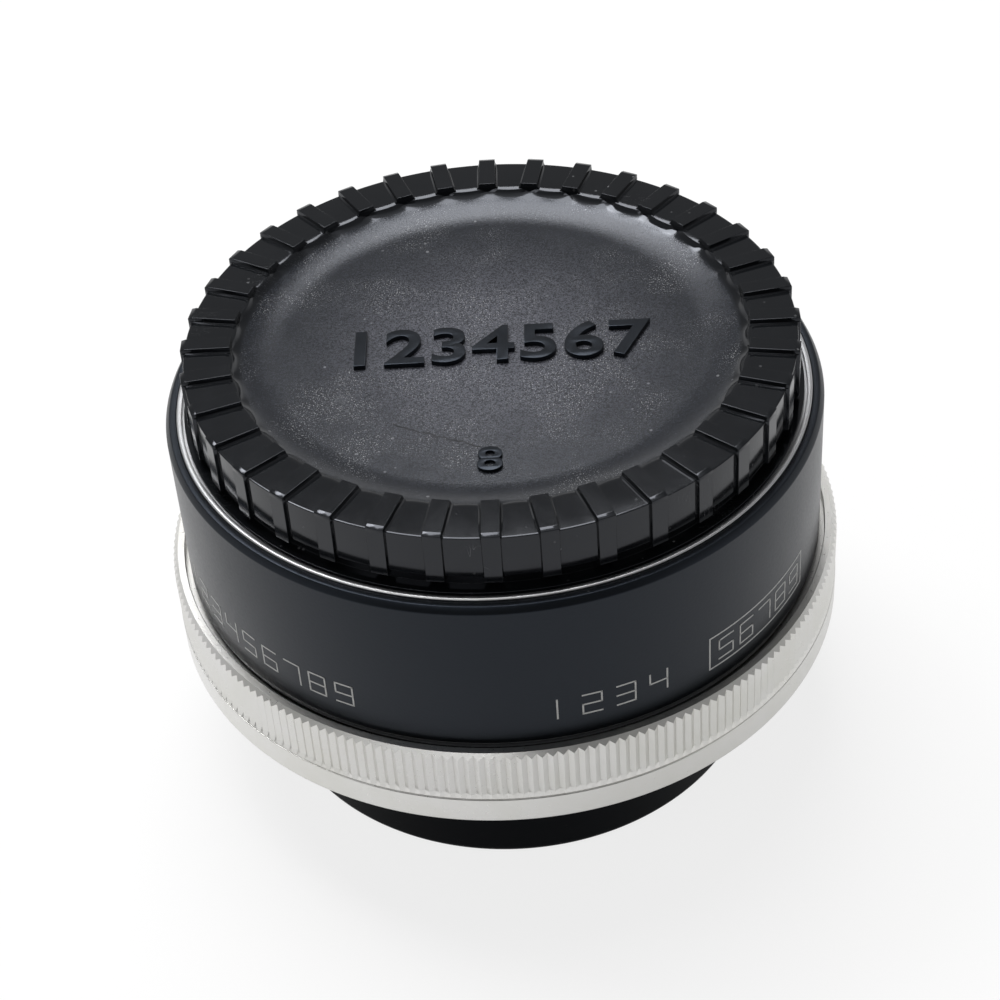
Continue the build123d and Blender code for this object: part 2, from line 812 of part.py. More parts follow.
def coil_points(turns, radius, length):
    """Points of a coil about Z that starts at the origin's height, a few to each turn."""
    count = turns * coil_points_per_turn
    return [
        polar(radius, 360.0 / coil_points_per_turn * step, length * step / count) for step in range(count + 1)
    ]


def coil_body(turns, radius, length, wire, place):
    """Wire of square section wound along a coil, set at a place."""
    points = coil_points(turns, radius, length)
    with BuildPart() as body:
        with BuildLine(place) as path:
            Polyline(*points)
        with BuildSketch(Plane(origin=path.line @ 0, z_dir=path.line % 0)):
            RegularPolygon(wire, side_count=4)
        sweep(path=path.line, transition=Transition.RIGHT)
    return body.part


def tension_spring(near, far):
    """Open coil between two studs, with a gap to each."""
    reach = Vector(*far) - Vector(*near)
    ends = spring_stud_radius + spring_wire_radius + seat_fit
    axis = reach.normalized()
    place = Plane(origin=Vector(*near) + axis * ends, z_dir=axis)
    length = reach.length - 2 * ends
    return coil_body(spring_turns, spring_coil_radius, length, spring_wire_radius, place)


spring_height = lever_ring_top + spring_lift

with BuildPart() as diaphragm_spring:
    add(
        tension_spring(
            polar(diaphragm_stud_circle, diaphragm_stud_bearing, spring_height),
            polar(rim_stud_circle, diaphragm_stud_bearing - diaphragm_spring_arc, spring_height),
        )
    )
diaphragm_spring.part.label = "diaphragm_spring"
export_step(diaphragm_spring.part, "parts/diaphragm_spring.step")

with BuildPart() as signal_spring:
    add(
        tension_spring(
            polar(signal_stud_circle, signal_stud_bearing, spring_height),
            polar(rim_stud_circle, signal_stud_bearing - signal_spring_arc, spring_height),
        )
    )
signal_spring.part.label = "signal_spring"
export_step(signal_spring.part, "parts/signal_spring.step")

with BuildPart() as front_baffle:
    with BuildSketch(Plane.XZ):
        with BuildLine():
            Polyline(
                (rear_throat_radius, carrier_top),
                (flange_tube_radius, carrier_top),
                (flange_tube_radius, baffle_top),
                (cell_radius + cap_fit, baffle_top),
                (cell_radius + cap_fit, baffle_top - baffle_plate),
                (rear_throat_radius, baffle_top - baffle_plate),
                close=True,
            )
        make_face()
    revolve(axis=Axis.Z)
    extrude(
        sectors(
            baffle_top,
            diaphragm_outer - lever_thickness - lever_slot_margin,
            diaphragm_outer + lever_slot_margin,
            lever_arc + diaphragm_turn + 2 * lever_slot_arc_margin,
            [diaphragm_bearing + diaphragm_turn / 2],
        ),
        amount=-baffle_plate,
        mode=Mode.SUBTRACT,
    )
    extrude(
        sectors(
            baffle_top,
            signal_outer - lever_thickness - lever_slot_margin,
            signal_outer + lever_slot_margin,
            lever_arc + signal_turn + 2 * lever_slot_arc_margin,
            [signal_bearing + signal_turn / 2],
        ),
        amount=-baffle_plate,
        mode=Mode.SUBTRACT,
    )
    with BuildSketch(Plane.XY.offset(baffle_top)):
        with Locations(pin_center[:2]):
            Circle(pin_radius + running_fit)
    extrude(amount=-baffle_plate, mode=Mode.SUBTRACT)
    with Locations(seat_plane):
        with PolarLocations(long_screw_circle, long_screw_count, start_angle=long_screw_first_bearing):
            add(long_screw_hole, mode=Mode.SUBTRACT)
front_baffle.part.label = "front_baffle"
export_step(front_baffle.part, "parts/front_baffle.step")

pin_collar_top = baffle_top - baffle_plate - lever_float
pin_collar_bottom = pin_collar_top - pin_collar_height

with BuildPart() as aperture_pin:
    with BuildSketch(Plane.XY.offset(carrier_top - pin_rear_reach)):
        with Locations(pin_center[:2]):
            Circle(pin_radius)
    extrude(amount=pin_rear_reach + baffle_height + pin_front_reach)
    with BuildSketch(Plane.XY.offset(pin_collar_bottom)):
        with Locations(pin_center[:2]):
            Circle(pin_collar_radius)
    extrude(amount=pin_collar_height)
aperture_pin.part.label = "aperture_pin"
export_step(aperture_pin.part, "parts/aperture_pin.step")

pin_spring_length = pin_collar_bottom - carrier_top - 2 * pin_spring_wire
pin_spring_place = Plane(origin=polar(pin_circle, pin_bearing, carrier_top + pin_spring_wire), z_dir=(0, 0, 1))

with BuildPart() as pin_spring:
    add(coil_body(pin_spring_turns, pin_spring_radius, pin_spring_length, pin_spring_wire, pin_spring_place))
pin_spring.part.label = "pin_spring"
export_step(pin_spring.part, "parts/pin_spring.step")

# Front cap: moulded disc with a sunk middle, thirty-six ribs and three tabs under the lugs
cap_overhang = 1.95
cap_skirt_step = 0.55
cap_radius = lug_radius + cap_overhang
cap_rise = 5.85
cap_skirt_radius = cap_radius - cap_skirt_step
lug_clearance = 0.2
cap_bore_radius = lug_radius + lug_clearance
cap_land_drop = 4.35
cap_wall = 1.4
foot_gap = 0.25
foot_thickness = 0.65
foot_bevel = 0.15
cap_edge_radius = 0.35
land_width = 4.45
dish_slope = 4.4
dish_curve_share = 0.75
ceiling_inset = 3.8
dish_rim_radius = cap_radius - land_width
dish_floor_radius = dish_rim_radius - dish_slope
dish_depth = 1.5
tab_thickness = 1.3
tab_lift = 0.1
rib_count = 36
rib_first_bearing = 7.7
rib_width = 2.15
rib_rise = 0.5
rib_stand = 0.29
rib_drop = 4.8
rib_inner_step = 0.35
rib_inner_radius = dish_rim_radius + rib_inner_step
rib_end_slope = 0.6
rib_corner_bevel = 0.5
rib_sink = 0.7
rib_edge_bevel = 0.33
cap_top = barrel_top + cap_rise
cap_land_bottom = cap_top - cap_land_drop
foot_radius = mount_radius - mount_rim_width - foot_gap
cap_ceiling = cap_top - dish_depth - cap_wall

with BuildPart() as rib:
    with BuildSketch(Plane.XZ):
        with BuildLine():
            Polyline(
                (rib_inner_radius, cap_top - rib_sink),
                (rib_inner_radius, cap_top),
                (rib_inner_radius + rib_end_slope, cap_top + rib_rise),
                (cap_radius + rib_stand, cap_top + rib_rise),
                (cap_radius + rib_stand, cap_top - rib_drop),
                (cap_skirt_radius - rib_sink, cap_top - rib_drop),
                (cap_skirt_radius - rib_sink, cap_top - rib_sink),
                close=True,
            )
        make_face()
    extrude(amount=rib_width / 2, both=True)
    chamfer(rib.edges().filter_by(Axis.Y).group_by(Axis.Z)[-1].sort_by(Axis.X)[-1], rib_corner_bevel)
    flank_edges = rib.faces().filter_by(Axis.Y).edges()
    top_edges = flank_edges.filter_by(lambda edge: edge.center().Z > cap_top)
    side_edges = flank_edges.filter_by(lambda edge: edge.center().X > cap_radius)
    side_edges = side_edges.filter_by(lambda edge: edge.center().Z > cap_top - rib_drop)
    chamfer(set(top_edges + side_edges), rib_edge_bevel)

with BuildPart() as front_cap:
    with BuildSketch(Plane.XZ):
        with BuildLine():
            ThreePointArc(
                (dish_rim_radius, cap_top),
                (dish_rim_radius - dish_slope / 2, cap_top - dish_depth * dish_curve_share),
                (dish_floor_radius, cap_top - dish_depth),
            )
            Polyline(
                (dish_floor_radius, cap_top - dish_depth),
                (0, cap_top - dish_depth),
                (0, cap_ceiling),
                (dish_rim_radius - ceiling_inset, cap_ceiling),
                (dish_rim_radius - cap_wall, cap_top - cap_wall),
                (cap_bore_radius, cap_top - cap_wall),
                (cap_bore_radius, floor_height),
                (foot_radius, floor_height),
                (foot_radius, floor_height + foot_thickness - foot_bevel),
                (foot_radius - foot_bevel, floor_height + foot_thickness),
                (cap_skirt_radius, floor_height + foot_thickness),
                (cap_skirt_radius, cap_land_bottom),
                (cap_radius, cap_land_bottom),
                (cap_radius, cap_top - cap_edge_radius),
                (cap_radius - cap_edge_radius, cap_top),
                (dish_rim_radius, cap_top),
            )
        make_face()
    revolve(axis=Axis.Z)
    with PolarLocations(0, rib_count, start_angle=rib_first_bearing):
        add(rib.part)
    extrude(
        sectors(
            floor_height + tab_lift,
            neck_radius + cap_fit,
            (cap_bore_radius + cap_skirt_radius) / 2,
            tab_arc,
            gap_bearings,
        ),
        amount=tab_thickness,
    )
front_cap.part.label = "front_cap"
export_step(front_cap.part, "parts/front_cap.step")

# Rear cap: smooth cup with three lugs that pass the breech ring's lugs and lock behind them
rear_cap_fit = 0.25
rear_cap_draft = 0.35
rear_cap_wall = 1.45
rear_cap_radius = neck_radius - rear_cap_fit
rear_cap_foot_radius = rear_cap_radius - rear_cap_draft
rear_cap_bore = rear_cap_radius - rear_cap_wall
rear_cap_floor = 1.6
rear_cap_edge = 0.8
rear_cap_panel_inset = 4.6
rear_cap_panel_radius = rear_cap_foot_radius - rear_cap_panel_inset
rear_cap_panel_depth = 0.4

with BuildPart() as rear_cap:
    with BuildSketch(Plane.XZ):
        with BuildLine():
            Polyline(
                (0, rear_cap_panel_depth),
                (rear_cap_panel_radius, rear_cap_panel_depth),
                (rear_cap_panel_radius, 0),
                (rear_cap_foot_radius, 0),
                (rear_cap_radius, seat_height),
                (rear_cap_bore, seat_height),
                (rear_cap_bore, rear_cap_floor),
                (0, rear_cap_floor),
                close=True,
            )
        make_face()
    revolve(axis=Axis.Z)
    fillet(rear_cap.edges().group_by(Axis.Z)[0].sort_by(SortBy.LENGTH)[-1], rear_cap_edge)
    extrude(
        sectors(
            seat_height - lug_thickness,
            (rear_cap_bore + rear_cap_radius) / 2,
            lug_radius,
            tab_arc,
            gap_bearings,
        ),
        amount=lug_thickness,
    )
rear_cap.part.label = "rear_cap"
export_step(rear_cap.part, "parts/rear_cap.step")
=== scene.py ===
import logging
import math
from contextlib import contextmanager
from dataclasses import dataclass
from enum import Enum
from typing import Any, Callable, Iterator, Mapping, Optional, Sequence, Union

import bpy
from mathutils import Matrix, Vector


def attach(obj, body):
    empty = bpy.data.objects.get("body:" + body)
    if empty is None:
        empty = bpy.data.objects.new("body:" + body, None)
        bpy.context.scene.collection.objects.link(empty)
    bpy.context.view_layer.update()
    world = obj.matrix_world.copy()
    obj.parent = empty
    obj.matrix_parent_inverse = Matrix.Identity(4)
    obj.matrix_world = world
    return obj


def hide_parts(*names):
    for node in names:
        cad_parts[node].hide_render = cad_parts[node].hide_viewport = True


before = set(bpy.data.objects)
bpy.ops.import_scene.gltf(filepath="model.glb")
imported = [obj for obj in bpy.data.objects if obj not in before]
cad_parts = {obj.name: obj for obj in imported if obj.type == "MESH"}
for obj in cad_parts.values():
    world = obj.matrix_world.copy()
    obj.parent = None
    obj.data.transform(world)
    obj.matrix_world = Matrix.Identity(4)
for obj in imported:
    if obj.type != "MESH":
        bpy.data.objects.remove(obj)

LOG = logging.getLogger("teleconverter")
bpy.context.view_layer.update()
MM = 0.001
LUG_BEARINGS = (90.0, 210.0, 330.0)
GAP_BEARINGS = (30.0, 150.0, 270.0)

Piece = bpy.types.Object
Point = tuple[float, float]
Colour = tuple[float, float, float, float]
Value = Union["Wire", float, Sequence[float]]
Inputs = Mapping[Union[str, int], Value]
CornerTest = Callable[[float, float, int], bool]


class Edge(Enum):
    """How far an edge is rounded, in millimetres."""

    CRISP = 0.04
    TURNED = 0.08
    MOULDED = 0.14


# Shader trees


class Wire:
    """A socket of a node tree with arithmetic, so that a pattern reads as a sum."""

    def __init__(self, tree: "ShaderTree", socket: bpy.types.NodeSocket) -> None:
        """Keeps the socket and the tree it belongs to."""
        self.tree = tree
        self.socket = socket

    def function(self, operation: str, second: Value = 0.0) -> "Wire":
        """Any operation of a Math node on this wire, such as SINE or MAXIMUM."""
        return self.tree.math(operation, self, second)

    def __add__(self, other: Value) -> "Wire":
        """Sum."""
        return self.function("ADD", other)

    __radd__ = __add__

    def __sub__(self, other: Value) -> "Wire":
        """Difference."""
        return self.function("SUBTRACT", other)

    def __rsub__(self, other: Value) -> "Wire":
        """Difference, with this wire taken away."""
        return self.tree.math("SUBTRACT", other, self)

    def __mul__(self, other: Value) -> "Wire":
        """Product."""
        return self.function("MULTIPLY", other)

    __rmul__ = __mul__

    def __truediv__(self, other: Value) -> "Wire":
        """Quotient."""
        return self.function("DIVIDE", other)

    def __pow__(self, other: Value) -> "Wire":
        """Power."""
        return self.function("POWER", other)

    def rise(self, low: float, high: float) -> "Wire":
        """Smooth step from 0 at low to 1 at high."""
        span = {"Value": self, "From Min": low, "From Max": high, "To Min": 0.0, "To Max": 1.0}
        return self.tree.node("ShaderNodeMapRange", {"interpolation_type": "SMOOTHSTEP"}, span)

    def between(self, low: float, high: float, blur: float) -> "Wire":
        """1 between two values, with soft ends."""
        return self.rise(low - blur, low + blur) * (1.0 - self.rise(high - blur, high + blur))


class ShaderTree:
    """The node tree of one material, or of the world."""

    def __init__(self, name: str, world: bool = False) -> None:
        """Starts an empty tree with its output.

        Args:
            name: the material's or world's name.
            world: whether the tree lights the world.
        """
        self.material = bpy.data.worlds.new(name) if world else bpy.data.materials.new(name)
        self.material.use_nodes = True
        self.nodes = self.material.node_tree.nodes
        self.links = self.material.node_tree.links
        self.nodes.clear()
        self.output = self.nodes.new("ShaderNodeOutputWorld" if world else "ShaderNodeOutputMaterial")

    def node(
        self,
        kind: str,
        settings: Optional[Mapping[str, Any]] = None,
        inputs: Optional[Inputs] = None,
        output: Union[str, int] = 0,
    ) -> Wire:
        """Adds a node of any type.

        Args:
            kind: the node's type.
            settings: its own settings, which are set first.
            inputs: a value or a wire for each named or numbered socket.
            output: the socket that is handed back.

        Returns:
            The chosen output as a wire.
        """
        made = self.nodes.new(kind)
        for name, value in (settings or {}).items():
            setattr(made, name, value)
        for name, value in (inputs or {}).items():
            socket = made.inputs[name]
            if isinstance(value, Wire):
                self.links.new(value.socket, socket)
            else:
                socket.default_value = value
        return Wire(self, made.outputs[output])

    def math(self, operation: str, first: Value, second: Value) -> Wire:
        """Adds one Math node."""
        return self.node("ShaderNodeMath", {"operation": operation}, {0: first, 1: second})

    def place(self) -> Wire:
        """Object coordinates, in metres."""
        return self.node("ShaderNodeTexCoord", output="Object")

    def parts(self, vector: Wire) -> list[Wire]:
        """X, Y and Z of a vector."""
        outputs = self.node("ShaderNodeSeparateXYZ", {}, {0: vector}).socket.node.outputs
        return [Wire(self, output) for output in outputs]

    def axes(self) -> list[Wire]:
        """Object coordinates along X, Y and Z, in millimetres."""
        return [axis * 1000.0 for axis in self.parts(self.place())]

    def vector(self, x: Value, y: Value, z: Value) -> Wire:
        """Joins three numbers to a vector."""
        return self.node("ShaderNodeCombineXYZ", {}, {0: x, 1: y, 2: z})

    def noise(self, vector: Wire, scale: float, detail: float = 3.0, rough: float = 0.55) -> Wire:
        """Noise from 0 to 1 at a vector."""
        inputs = {"Vector": vector, "Scale": scale, "Detail": detail, "Roughness": rough}
        return self.node("ShaderNodeTexNoise", {}, inputs)

    def spots(self, vector: Wire, scale: float) -> Wire:
        """Distance to the nearest of many scattered points."""
        return self.node("ShaderNodeTexVoronoi", {}, {"Vector": vector, "Scale": scale})

    def mix(self, factor: Value, first: Value, second: Value) -> Wire:
        """Mixes two colours."""
        return self.node("ShaderNodeMix", {"data_type": "RGBA"}, {0: factor, 6: first, 7: second}, 2)

    def bump(self, height: Wire, depth_mm: float, under: Optional[Wire] = None) -> Wire:
        """Turns a height from 0 to 1 into a normal.

        Args:
            height: the pattern.
            depth_mm: how deep it is, in millimetres.
            under: another bump that it lies on.

        Returns:
            The normal.
        """
        inputs: dict[Union[str, int], Value] = {"Height": height, "Distance": depth_mm * MM, "Strength": 1.0}
        if under is not None:
            inputs["Normal"] = under
        return self.node("ShaderNodeBump", {}, inputs)

    def surface(self, inputs: Inputs) -> bpy.types.Material:
        """Ends the tree in a Principled surface and hands the material back."""
        self.end(self.node("ShaderNodeBsdfPrincipled", {}, inputs))
        return self.material

    def end(self, shader: Wire) -> None:
        """Leads a shader to the output's surface."""
        self.links.new(shader.socket, self.output.inputs["Surface"])


def grey(level: float, blue: float = 0.0) -> Colour:
    """A grey with a little blue in it."""
    return (level * (1.0 - blue), level, level * (1.0 + 1.5 * blue), 1.0)


# painted reflection tint: the black finishes' reflections are tinted blue in place of a cool sky
COOL_SKY_TINT = (0.64, 0.77, 1.0, 1.0)
PALE = (0.86, 0.9, 1.0, 1.0)
GRIME = (0.16, 0.12, 0.08, 1.0)
# eroded middle of the cap: painted shade, dark near the dish's rim and lighter towards the axis
ERODED_SHADED_RIM = (0.016, 0.018, 0.023, 1.0)
ERODED_LIT_MIDDLE = (0.082, 0.084, 0.1, 1.0)
CLEAR = (0.96, 0.98, 0.97, 1.0)
COATING = (0.93, 0.94, 1.0, 1.0)


@dataclass(frozen=True)
class Flecks:
    """Dust or specks: small spots scattered in patches. Scales are cells to the metre."""

    scale: float
    edge: Point
    patch_scale: float
    patch_detail: float
    patch: Point

    def draw(self, tree: ShaderTree, place: Wire) -> Wire:
        """1 on a fleck and 0 elsewhere."""
        spots = 1.0 - tree.spots(place, self.scale).rise(*self.edge)
        return spots * tree.noise(place, self.patch_scale, self.patch_detail).rise(*self.patch)


# Finishes


@dataclass(frozen=True)
class Finish:
    """A material's name and the frame's slot that it stands for."""

    name: str
    slot: str

    def material(self) -> bpy.types.Material:
        """Builds the node tree; each kind of finish has its own."""
        raise NotImplementedError


@dataclass(frozen=True)
class SatinPaint(Finish):
    """Satin black anodised or painted metal with a fine grain and a few pale specks."""

    level: float = 0.005
    roughness: float = 0.34
    specular: float = 0.27
    grain_mm: float = 0.16
    grain_depth: float = 0.006
    grain_gloss: float = 0.12
    cloud_gloss: float = 0.08
    specks: Flecks = Flecks(420.0, (0.02, 0.07), 260.0, 1.0, (0.6, 0.68))
    speck_share: float = 0.25

    def material(self) -> bpy.types.Material:
        """Builds the node tree.

        Returns:
            The finished material.
        """
        tree = ShaderTree(self.name)
        place = tree.place()
        grain = tree.noise(place, 1000.0 / self.grain_mm / 2.0, 2.0, 0.6)
        cloud = tree.noise(place, 90.0)
        colour = tree.mix(cloud, grey(self.level * 0.8, 0.08), grey(self.level * 1.25, 0.1))
        colour = tree.mix(self.specks.draw(tree, place) * self.speck_share, colour, grey(0.25))
        rough = self.roughness + (grain - 0.5) * self.grain_gloss + (cloud - 0.5) * self.cloud_gloss
        return tree.surface(
            {
                "Base Color": colour,
                "Roughness": rough,
                "Specular IOR Level": self.specular,
                "Specular Tint": COOL_SKY_TINT,
                "Normal": tree.bump(grain, self.grain_depth),
            }
        )


@dataclass(frozen=True)
class CapMoulding(Finish):
    """Glossy black moulding with a spark-eroded middle, dust, fine scratches and one long mark; the middle
    carries painted shade towards its rim and painted glints.
    """

    level: float = 0.005
    specular: float = 0.37
    gloss_roughness: float = 0.12
    grain_roughness: float = 0.24
    grain_radius: float = 23.3
    grain_depth: float = 0.022
    haze_depth: float = 0.003
    floor_height: float = 42.5
    # radii over which the eroded middle's painted shade runs from light to dark
    shade_span: Point = (4.0, 20.0)
    dust: Flecks = Flecks(620.0, (0.05, 0.12), 190.0, 2.0, (0.5, 0.72))
    mark_start: float = -9.2
    mark_run: float = 7.7
    mark_height: float = -10.6
    mark_fall: float = 4.0
    mark_wander: float = 1.2
    mark_edge: Point = (0.06, 0.17)

    def scratches(self, tree: ShaderTree, place: Wire) -> Wire:
        """Hairlines that run one way, in patches.

        Args:
            tree: the material's tree.
            place: Object coordinates, in metres.

        Returns:
            1 on a hairline and 0 elsewhere.
        """
        inputs = {"Vector": place, "Rotation": (0.0, 0.0, 0.6), "Scale": (1.0, 14.0, 1.0)}
        hair = tree.noise(tree.node("ShaderNodeMapping", {}, inputs), 300.0, 2.0, 0.5)
        return hair.between(0.4985, 0.5015, 0.0015) * tree.noise(place, 110.0, 1.0).rise(0.6, 0.68)

    def mark(self, tree: ShaderTree, place: Wire, x: Wire, y: Wire) -> Wire:
        """The long broken mark beside the small number.

        Args:
            tree: the material's tree.
            place: Object coordinates, in metres.
            x: millimetres to the right.
            y: millimetres to the back.

        Returns:
            1 on the mark and 0 elsewhere.
        """
        run = (x - self.mark_start) / self.mark_run
        wander = tree.noise(tree.vector(x, 0.0, 0.0), 0.8) - 0.5
        gap = (y - (self.mark_height - run * self.mark_fall + wander * self.mark_wander)).function("ABSOLUTE")
        broken = tree.noise(place, 1400.0, 2.0).rise(0.25, 0.4)
        return (1.0 - gap.rise(*self.mark_edge)) * run.between(0.0, 1.0, 0.01) * broken

    def material(self) -> bpy.types.Material:
        """Builds the node tree.

        Returns:
            The finished material.
        """
        tree = ShaderTree(self.name)
        place = tree.place()
        x, y, z = tree.axes()
        radius = (x * x + y * y) ** 0.5
        inside = 1.0 - radius.rise(self.grain_radius - 0.3, self.grain_radius + 0.2)
        middle = inside * z.rise(self.floor_height, self.floor_height + 0.5)
        grain = tree.noise(place, 8200.0, 2.0, 0.6)
        erosion = grain * 0.6 + tree.noise(place, 3900.0, 2.0, 0.6) * 0.4
        cloud = tree.noise(place, 70.0, 4.0)
        haze = tree.noise(place, 260.0, 5.0, 0.65)
        dust = self.dust.draw(tree, place)
        colour = tree.mix(cloud, grey(self.level * 0.8, 0.1), grey(self.level * 1.3, 0.12))
        # painted shade: the eroded middle darkens from the axis towards the dish's rim
        eroded = tree.mix(1.0 - radius.rise(*self.shade_span), ERODED_SHADED_RIM, ERODED_LIT_MIDDLE)
        colour = tree.mix(middle * (0.15 + 0.85 * erosion.rise(0.41, 0.59)), colour, eroded)
        # painted glints: pale grey specks in the eroded middle's colour stand in for light caught by the
        # grain
        painted_glints = grain.rise(0.62, 0.68) * tree.noise(place, 130.0, 2.0).rise(0.45, 0.65)
        colour = tree.mix(painted_glints * middle * 0.8, colour, grey(0.4))
        scratched = self.scratches(tree, place) * (1.0 - middle)
        colour = tree.mix(dust * 0.45 + scratched * 0.35, colour, grey(0.33, 0.02))
        colour = tree.mix(self.mark(tree, place, x, y), colour, grey(0.003))
        rough = self.gloss_roughness + (haze - 0.5) * 0.16
        rough = rough + middle * (self.grain_roughness - self.gloss_roughness)
        return tree.surface(
            {
                "Base Color": colour,
                "Roughness": rough + dust * 0.3 + (cloud - 0.5) * 0.05,
                "Specular IOR Level": self.specular,
                "Specular Tint": PALE,
                "Normal": tree.bump(erosion * middle, self.grain_depth, tree.bump(haze, self.haze_depth)),
            }
        )


@dataclass(frozen=True)
class Moulding(Finish):
    """Plain black moulding, smooth or matt, with a little dust."""

    level: float = 0.004
    roughness: float = 0.3
    grain_depth: float = 0.004
    specular: float = 0.15
    dust: Flecks = Flecks(520.0, (0.04, 0.1), 150.0, 2.0, (0.55, 0.72))

    def material(self) -> bpy.types.Material:
        """Builds the node tree.

        Returns:
            The finished material.
        """
        tree = ShaderTree(self.name)
        place = tree.place()
        haze = tree.noise(place, 180.0, 4.0, 0.6)
        dust = self.dust.draw(tree, place)
        colour = tree.mix(haze, grey(self.level * 0.8, 0.1), grey(self.level * 1.3, 0.1))
        return tree.surface(
            {
                "Base Color": tree.mix(dust * 0.3, colour, grey(0.3)),
                "Roughness": self.roughness + (haze - 0.5) * 0.2 + dust * 0.2,
                "Specular IOR Level": self.specular,
                "Specular Tint": COOL_SKY_TINT,
                "Normal": tree.bump(tree.noise(place, 2600.0, 2.0, 0.6), self.grain_depth),
            }
        )


@dataclass(frozen=True)
class SatinMetal(Finish):
    """Satin plated or turned metal: fine turning marks, tarnish, and grime low down in grooves."""

    colour: tuple[float, float, float] = (0.78, 0.77, 0.75)
    roughness: float = 0.3
    turning: float = 0.5
    turning_depth: float = 0.0012
    tarnish: tuple[float, float, float] = (0.86, 0.86, 0.78)
    groove_radius: float = 0.0
    groove_low: float = 0.0
    groove_high: float = 0.0

    def material(self) -> bpy.types.Material:
        """Builds the node tree.

        Returns:
            The finished material.
        """
        tree = ShaderTree(self.name)
        place = tree.place()
        x, y, z = tree.axes()
        radius = (x * x + y * y) ** 0.5
        rings = tree.noise(tree.vector(radius, z, 0.0), 9.0, 4.0, 0.65)
        frost = tree.noise(place, 3400.0, 2.0, 0.6)
        cloud = tree.noise(place, 120.0, 5.0, 0.6)
        stain = tree.noise(place, 42.0, 4.0, 0.6).rise(0.5, 0.75)
        dull = [level * share for level, share in zip(self.colour, self.tarnish)]
        colour = tree.mix(cloud.rise(0.35, 0.75) * 0.35 + stain * 0.25, (*self.colour, 1.0), (*dull, 1.0))
        if self.groove_radius:
            depth = 1.0 - radius.rise(self.groove_radius - 0.12, self.groove_radius + 0.1)
            band = z.between(self.groove_low, self.groove_high, 0.1)
            grime = depth * band * tree.noise(place, 900.0, 3.0, 0.6).rise(0.3, 0.6)
            colour = tree.mix(grime * 0.75, colour, GRIME)
        blend = frost * (1.0 - self.turning) + rings * self.turning
        return tree.surface(
            {
                "Base Color": colour,
                "Metallic": 1.0,
                "Roughness": self.roughness + (blend - 0.5) * 0.2 + stain * 0.06,
                "Normal": tree.bump(blend, self.turning_depth),
            }
        )


@dataclass(frozen=True)
class BareSteel(Finish):
    """Small bright steel piece with drawn or ground marks."""

    colour: tuple[float, float, float] = (0.62, 0.61, 0.59)
    roughness: float = 0.26
    dull_share: float = 0.7
    mark_depth: float = 0.001

    def material(self) -> bpy.types.Material:
        """Builds the node tree.

        Returns:
            The finished material.
        """
        tree = ShaderTree(self.name)
        place = tree.place()
        drawn = tree.node("ShaderNodeMapping", {}, {"Vector": place, "Scale": (1.0, 1.0, 9.0)})
        marks = tree.noise(drawn, 900.0)
        cloud = tree.noise(place, 400.0, 4.0).rise(0.4, 0.8)
        dull = [level * self.dull_share for level in self.colour]
        return tree.surface(
            {
                "Base Color": tree.mix(cloud * 0.5, (*self.colour, 1.0), (*dull, 1.0)),
                "Metallic": 1.0,
                "Roughness": self.roughness + (marks - 0.5) * 0.25,
                "Normal": tree.bump(marks, self.mark_depth),
            }
        )


@dataclass(frozen=True)
class Enamel(Finish):
    """Gloss paint in a small sunk mark or an engraved line."""

    colour: tuple[float, float, float] = (0.62, 0.02, 0.015)
    roughness: float = 0.25
    dirt_share: float = 0.45
    flow_depth: float = 0.01

    def material(self) -> bpy.types.Material:
        """Builds the node tree.

        Returns:
            The finished material.
        """
        tree = ShaderTree(self.name)
        place = tree.place()
        flow = tree.noise(place, 900.0)
        dirt = tree.noise(place, 1500.0, 3.0, 0.7).rise(0.55, 0.75)
        dark = [level * self.dirt_share for level in self.colour]
        return tree.surface(
            {
                "Base Color": tree.mix(dirt * 0.6, (*self.colour, 1.0), (*dark, 1.0)),
                "Roughness": self.roughness + (flow - 0.5) * 0.2,
                "Normal": tree.bump(flow, self.flow_depth),
            }
        )


@dataclass(frozen=True)
class CoatedGlass(Finish):
    """Optical glass with a coating that tints its reflections, wiped and a little dusty."""

    tint: tuple[float, float, float] = (0.62, 0.55, 1.0)
    index: float = 1.6
    coat: float = 0.6
    coat_roughness: float = 0.02
    dust: Flecks = Flecks(700.0, (0.03, 0.07), 210.0, 1.0, (0.6, 0.7))

    def material(self) -> bpy.types.Material:
        """Builds the node tree.

        Returns:
            The finished material.
        """
        tree = ShaderTree(self.name)
        place = tree.place()
        wipe = tree.noise(place, 160.0, 4.0, 0.6).rise(0.5, 0.8)
        dust = self.dust.draw(tree, place)
        return tree.surface(
            {
                "Base Color": tree.mix(dust * 0.6, CLEAR, grey(0.5)),
                "Roughness": 0.01 + wipe * 0.03 + dust * 0.4,
                "IOR": self.index,
                "Transmission Weight": 1.0,
                "Coat Weight": self.coat,
                "Coat Roughness": self.coat_roughness,
                "Coat Tint": COATING,
                "Specular Tint": (*self.tint, 1.0),
            }
        )


BARREL_BLACK = SatinPaint("satin_black_barrel", "black_anodised")
CELL_BLACK = SatinPaint("anodised_cell", "black_anodised", roughness=0.5, grain_mm=0.1)
MATT_BLACK = SatinPaint("matt_black_metal", "black_metal", level=0.014, roughness=0.62, specular=0.3)
CAP_PLASTIC = CapMoulding("front_cap_moulding", "front_cap_plastic")
CAP_GLOSS = Moulding("raised_numbers", "front_cap_plastic", roughness=0.24, specular=0.3)
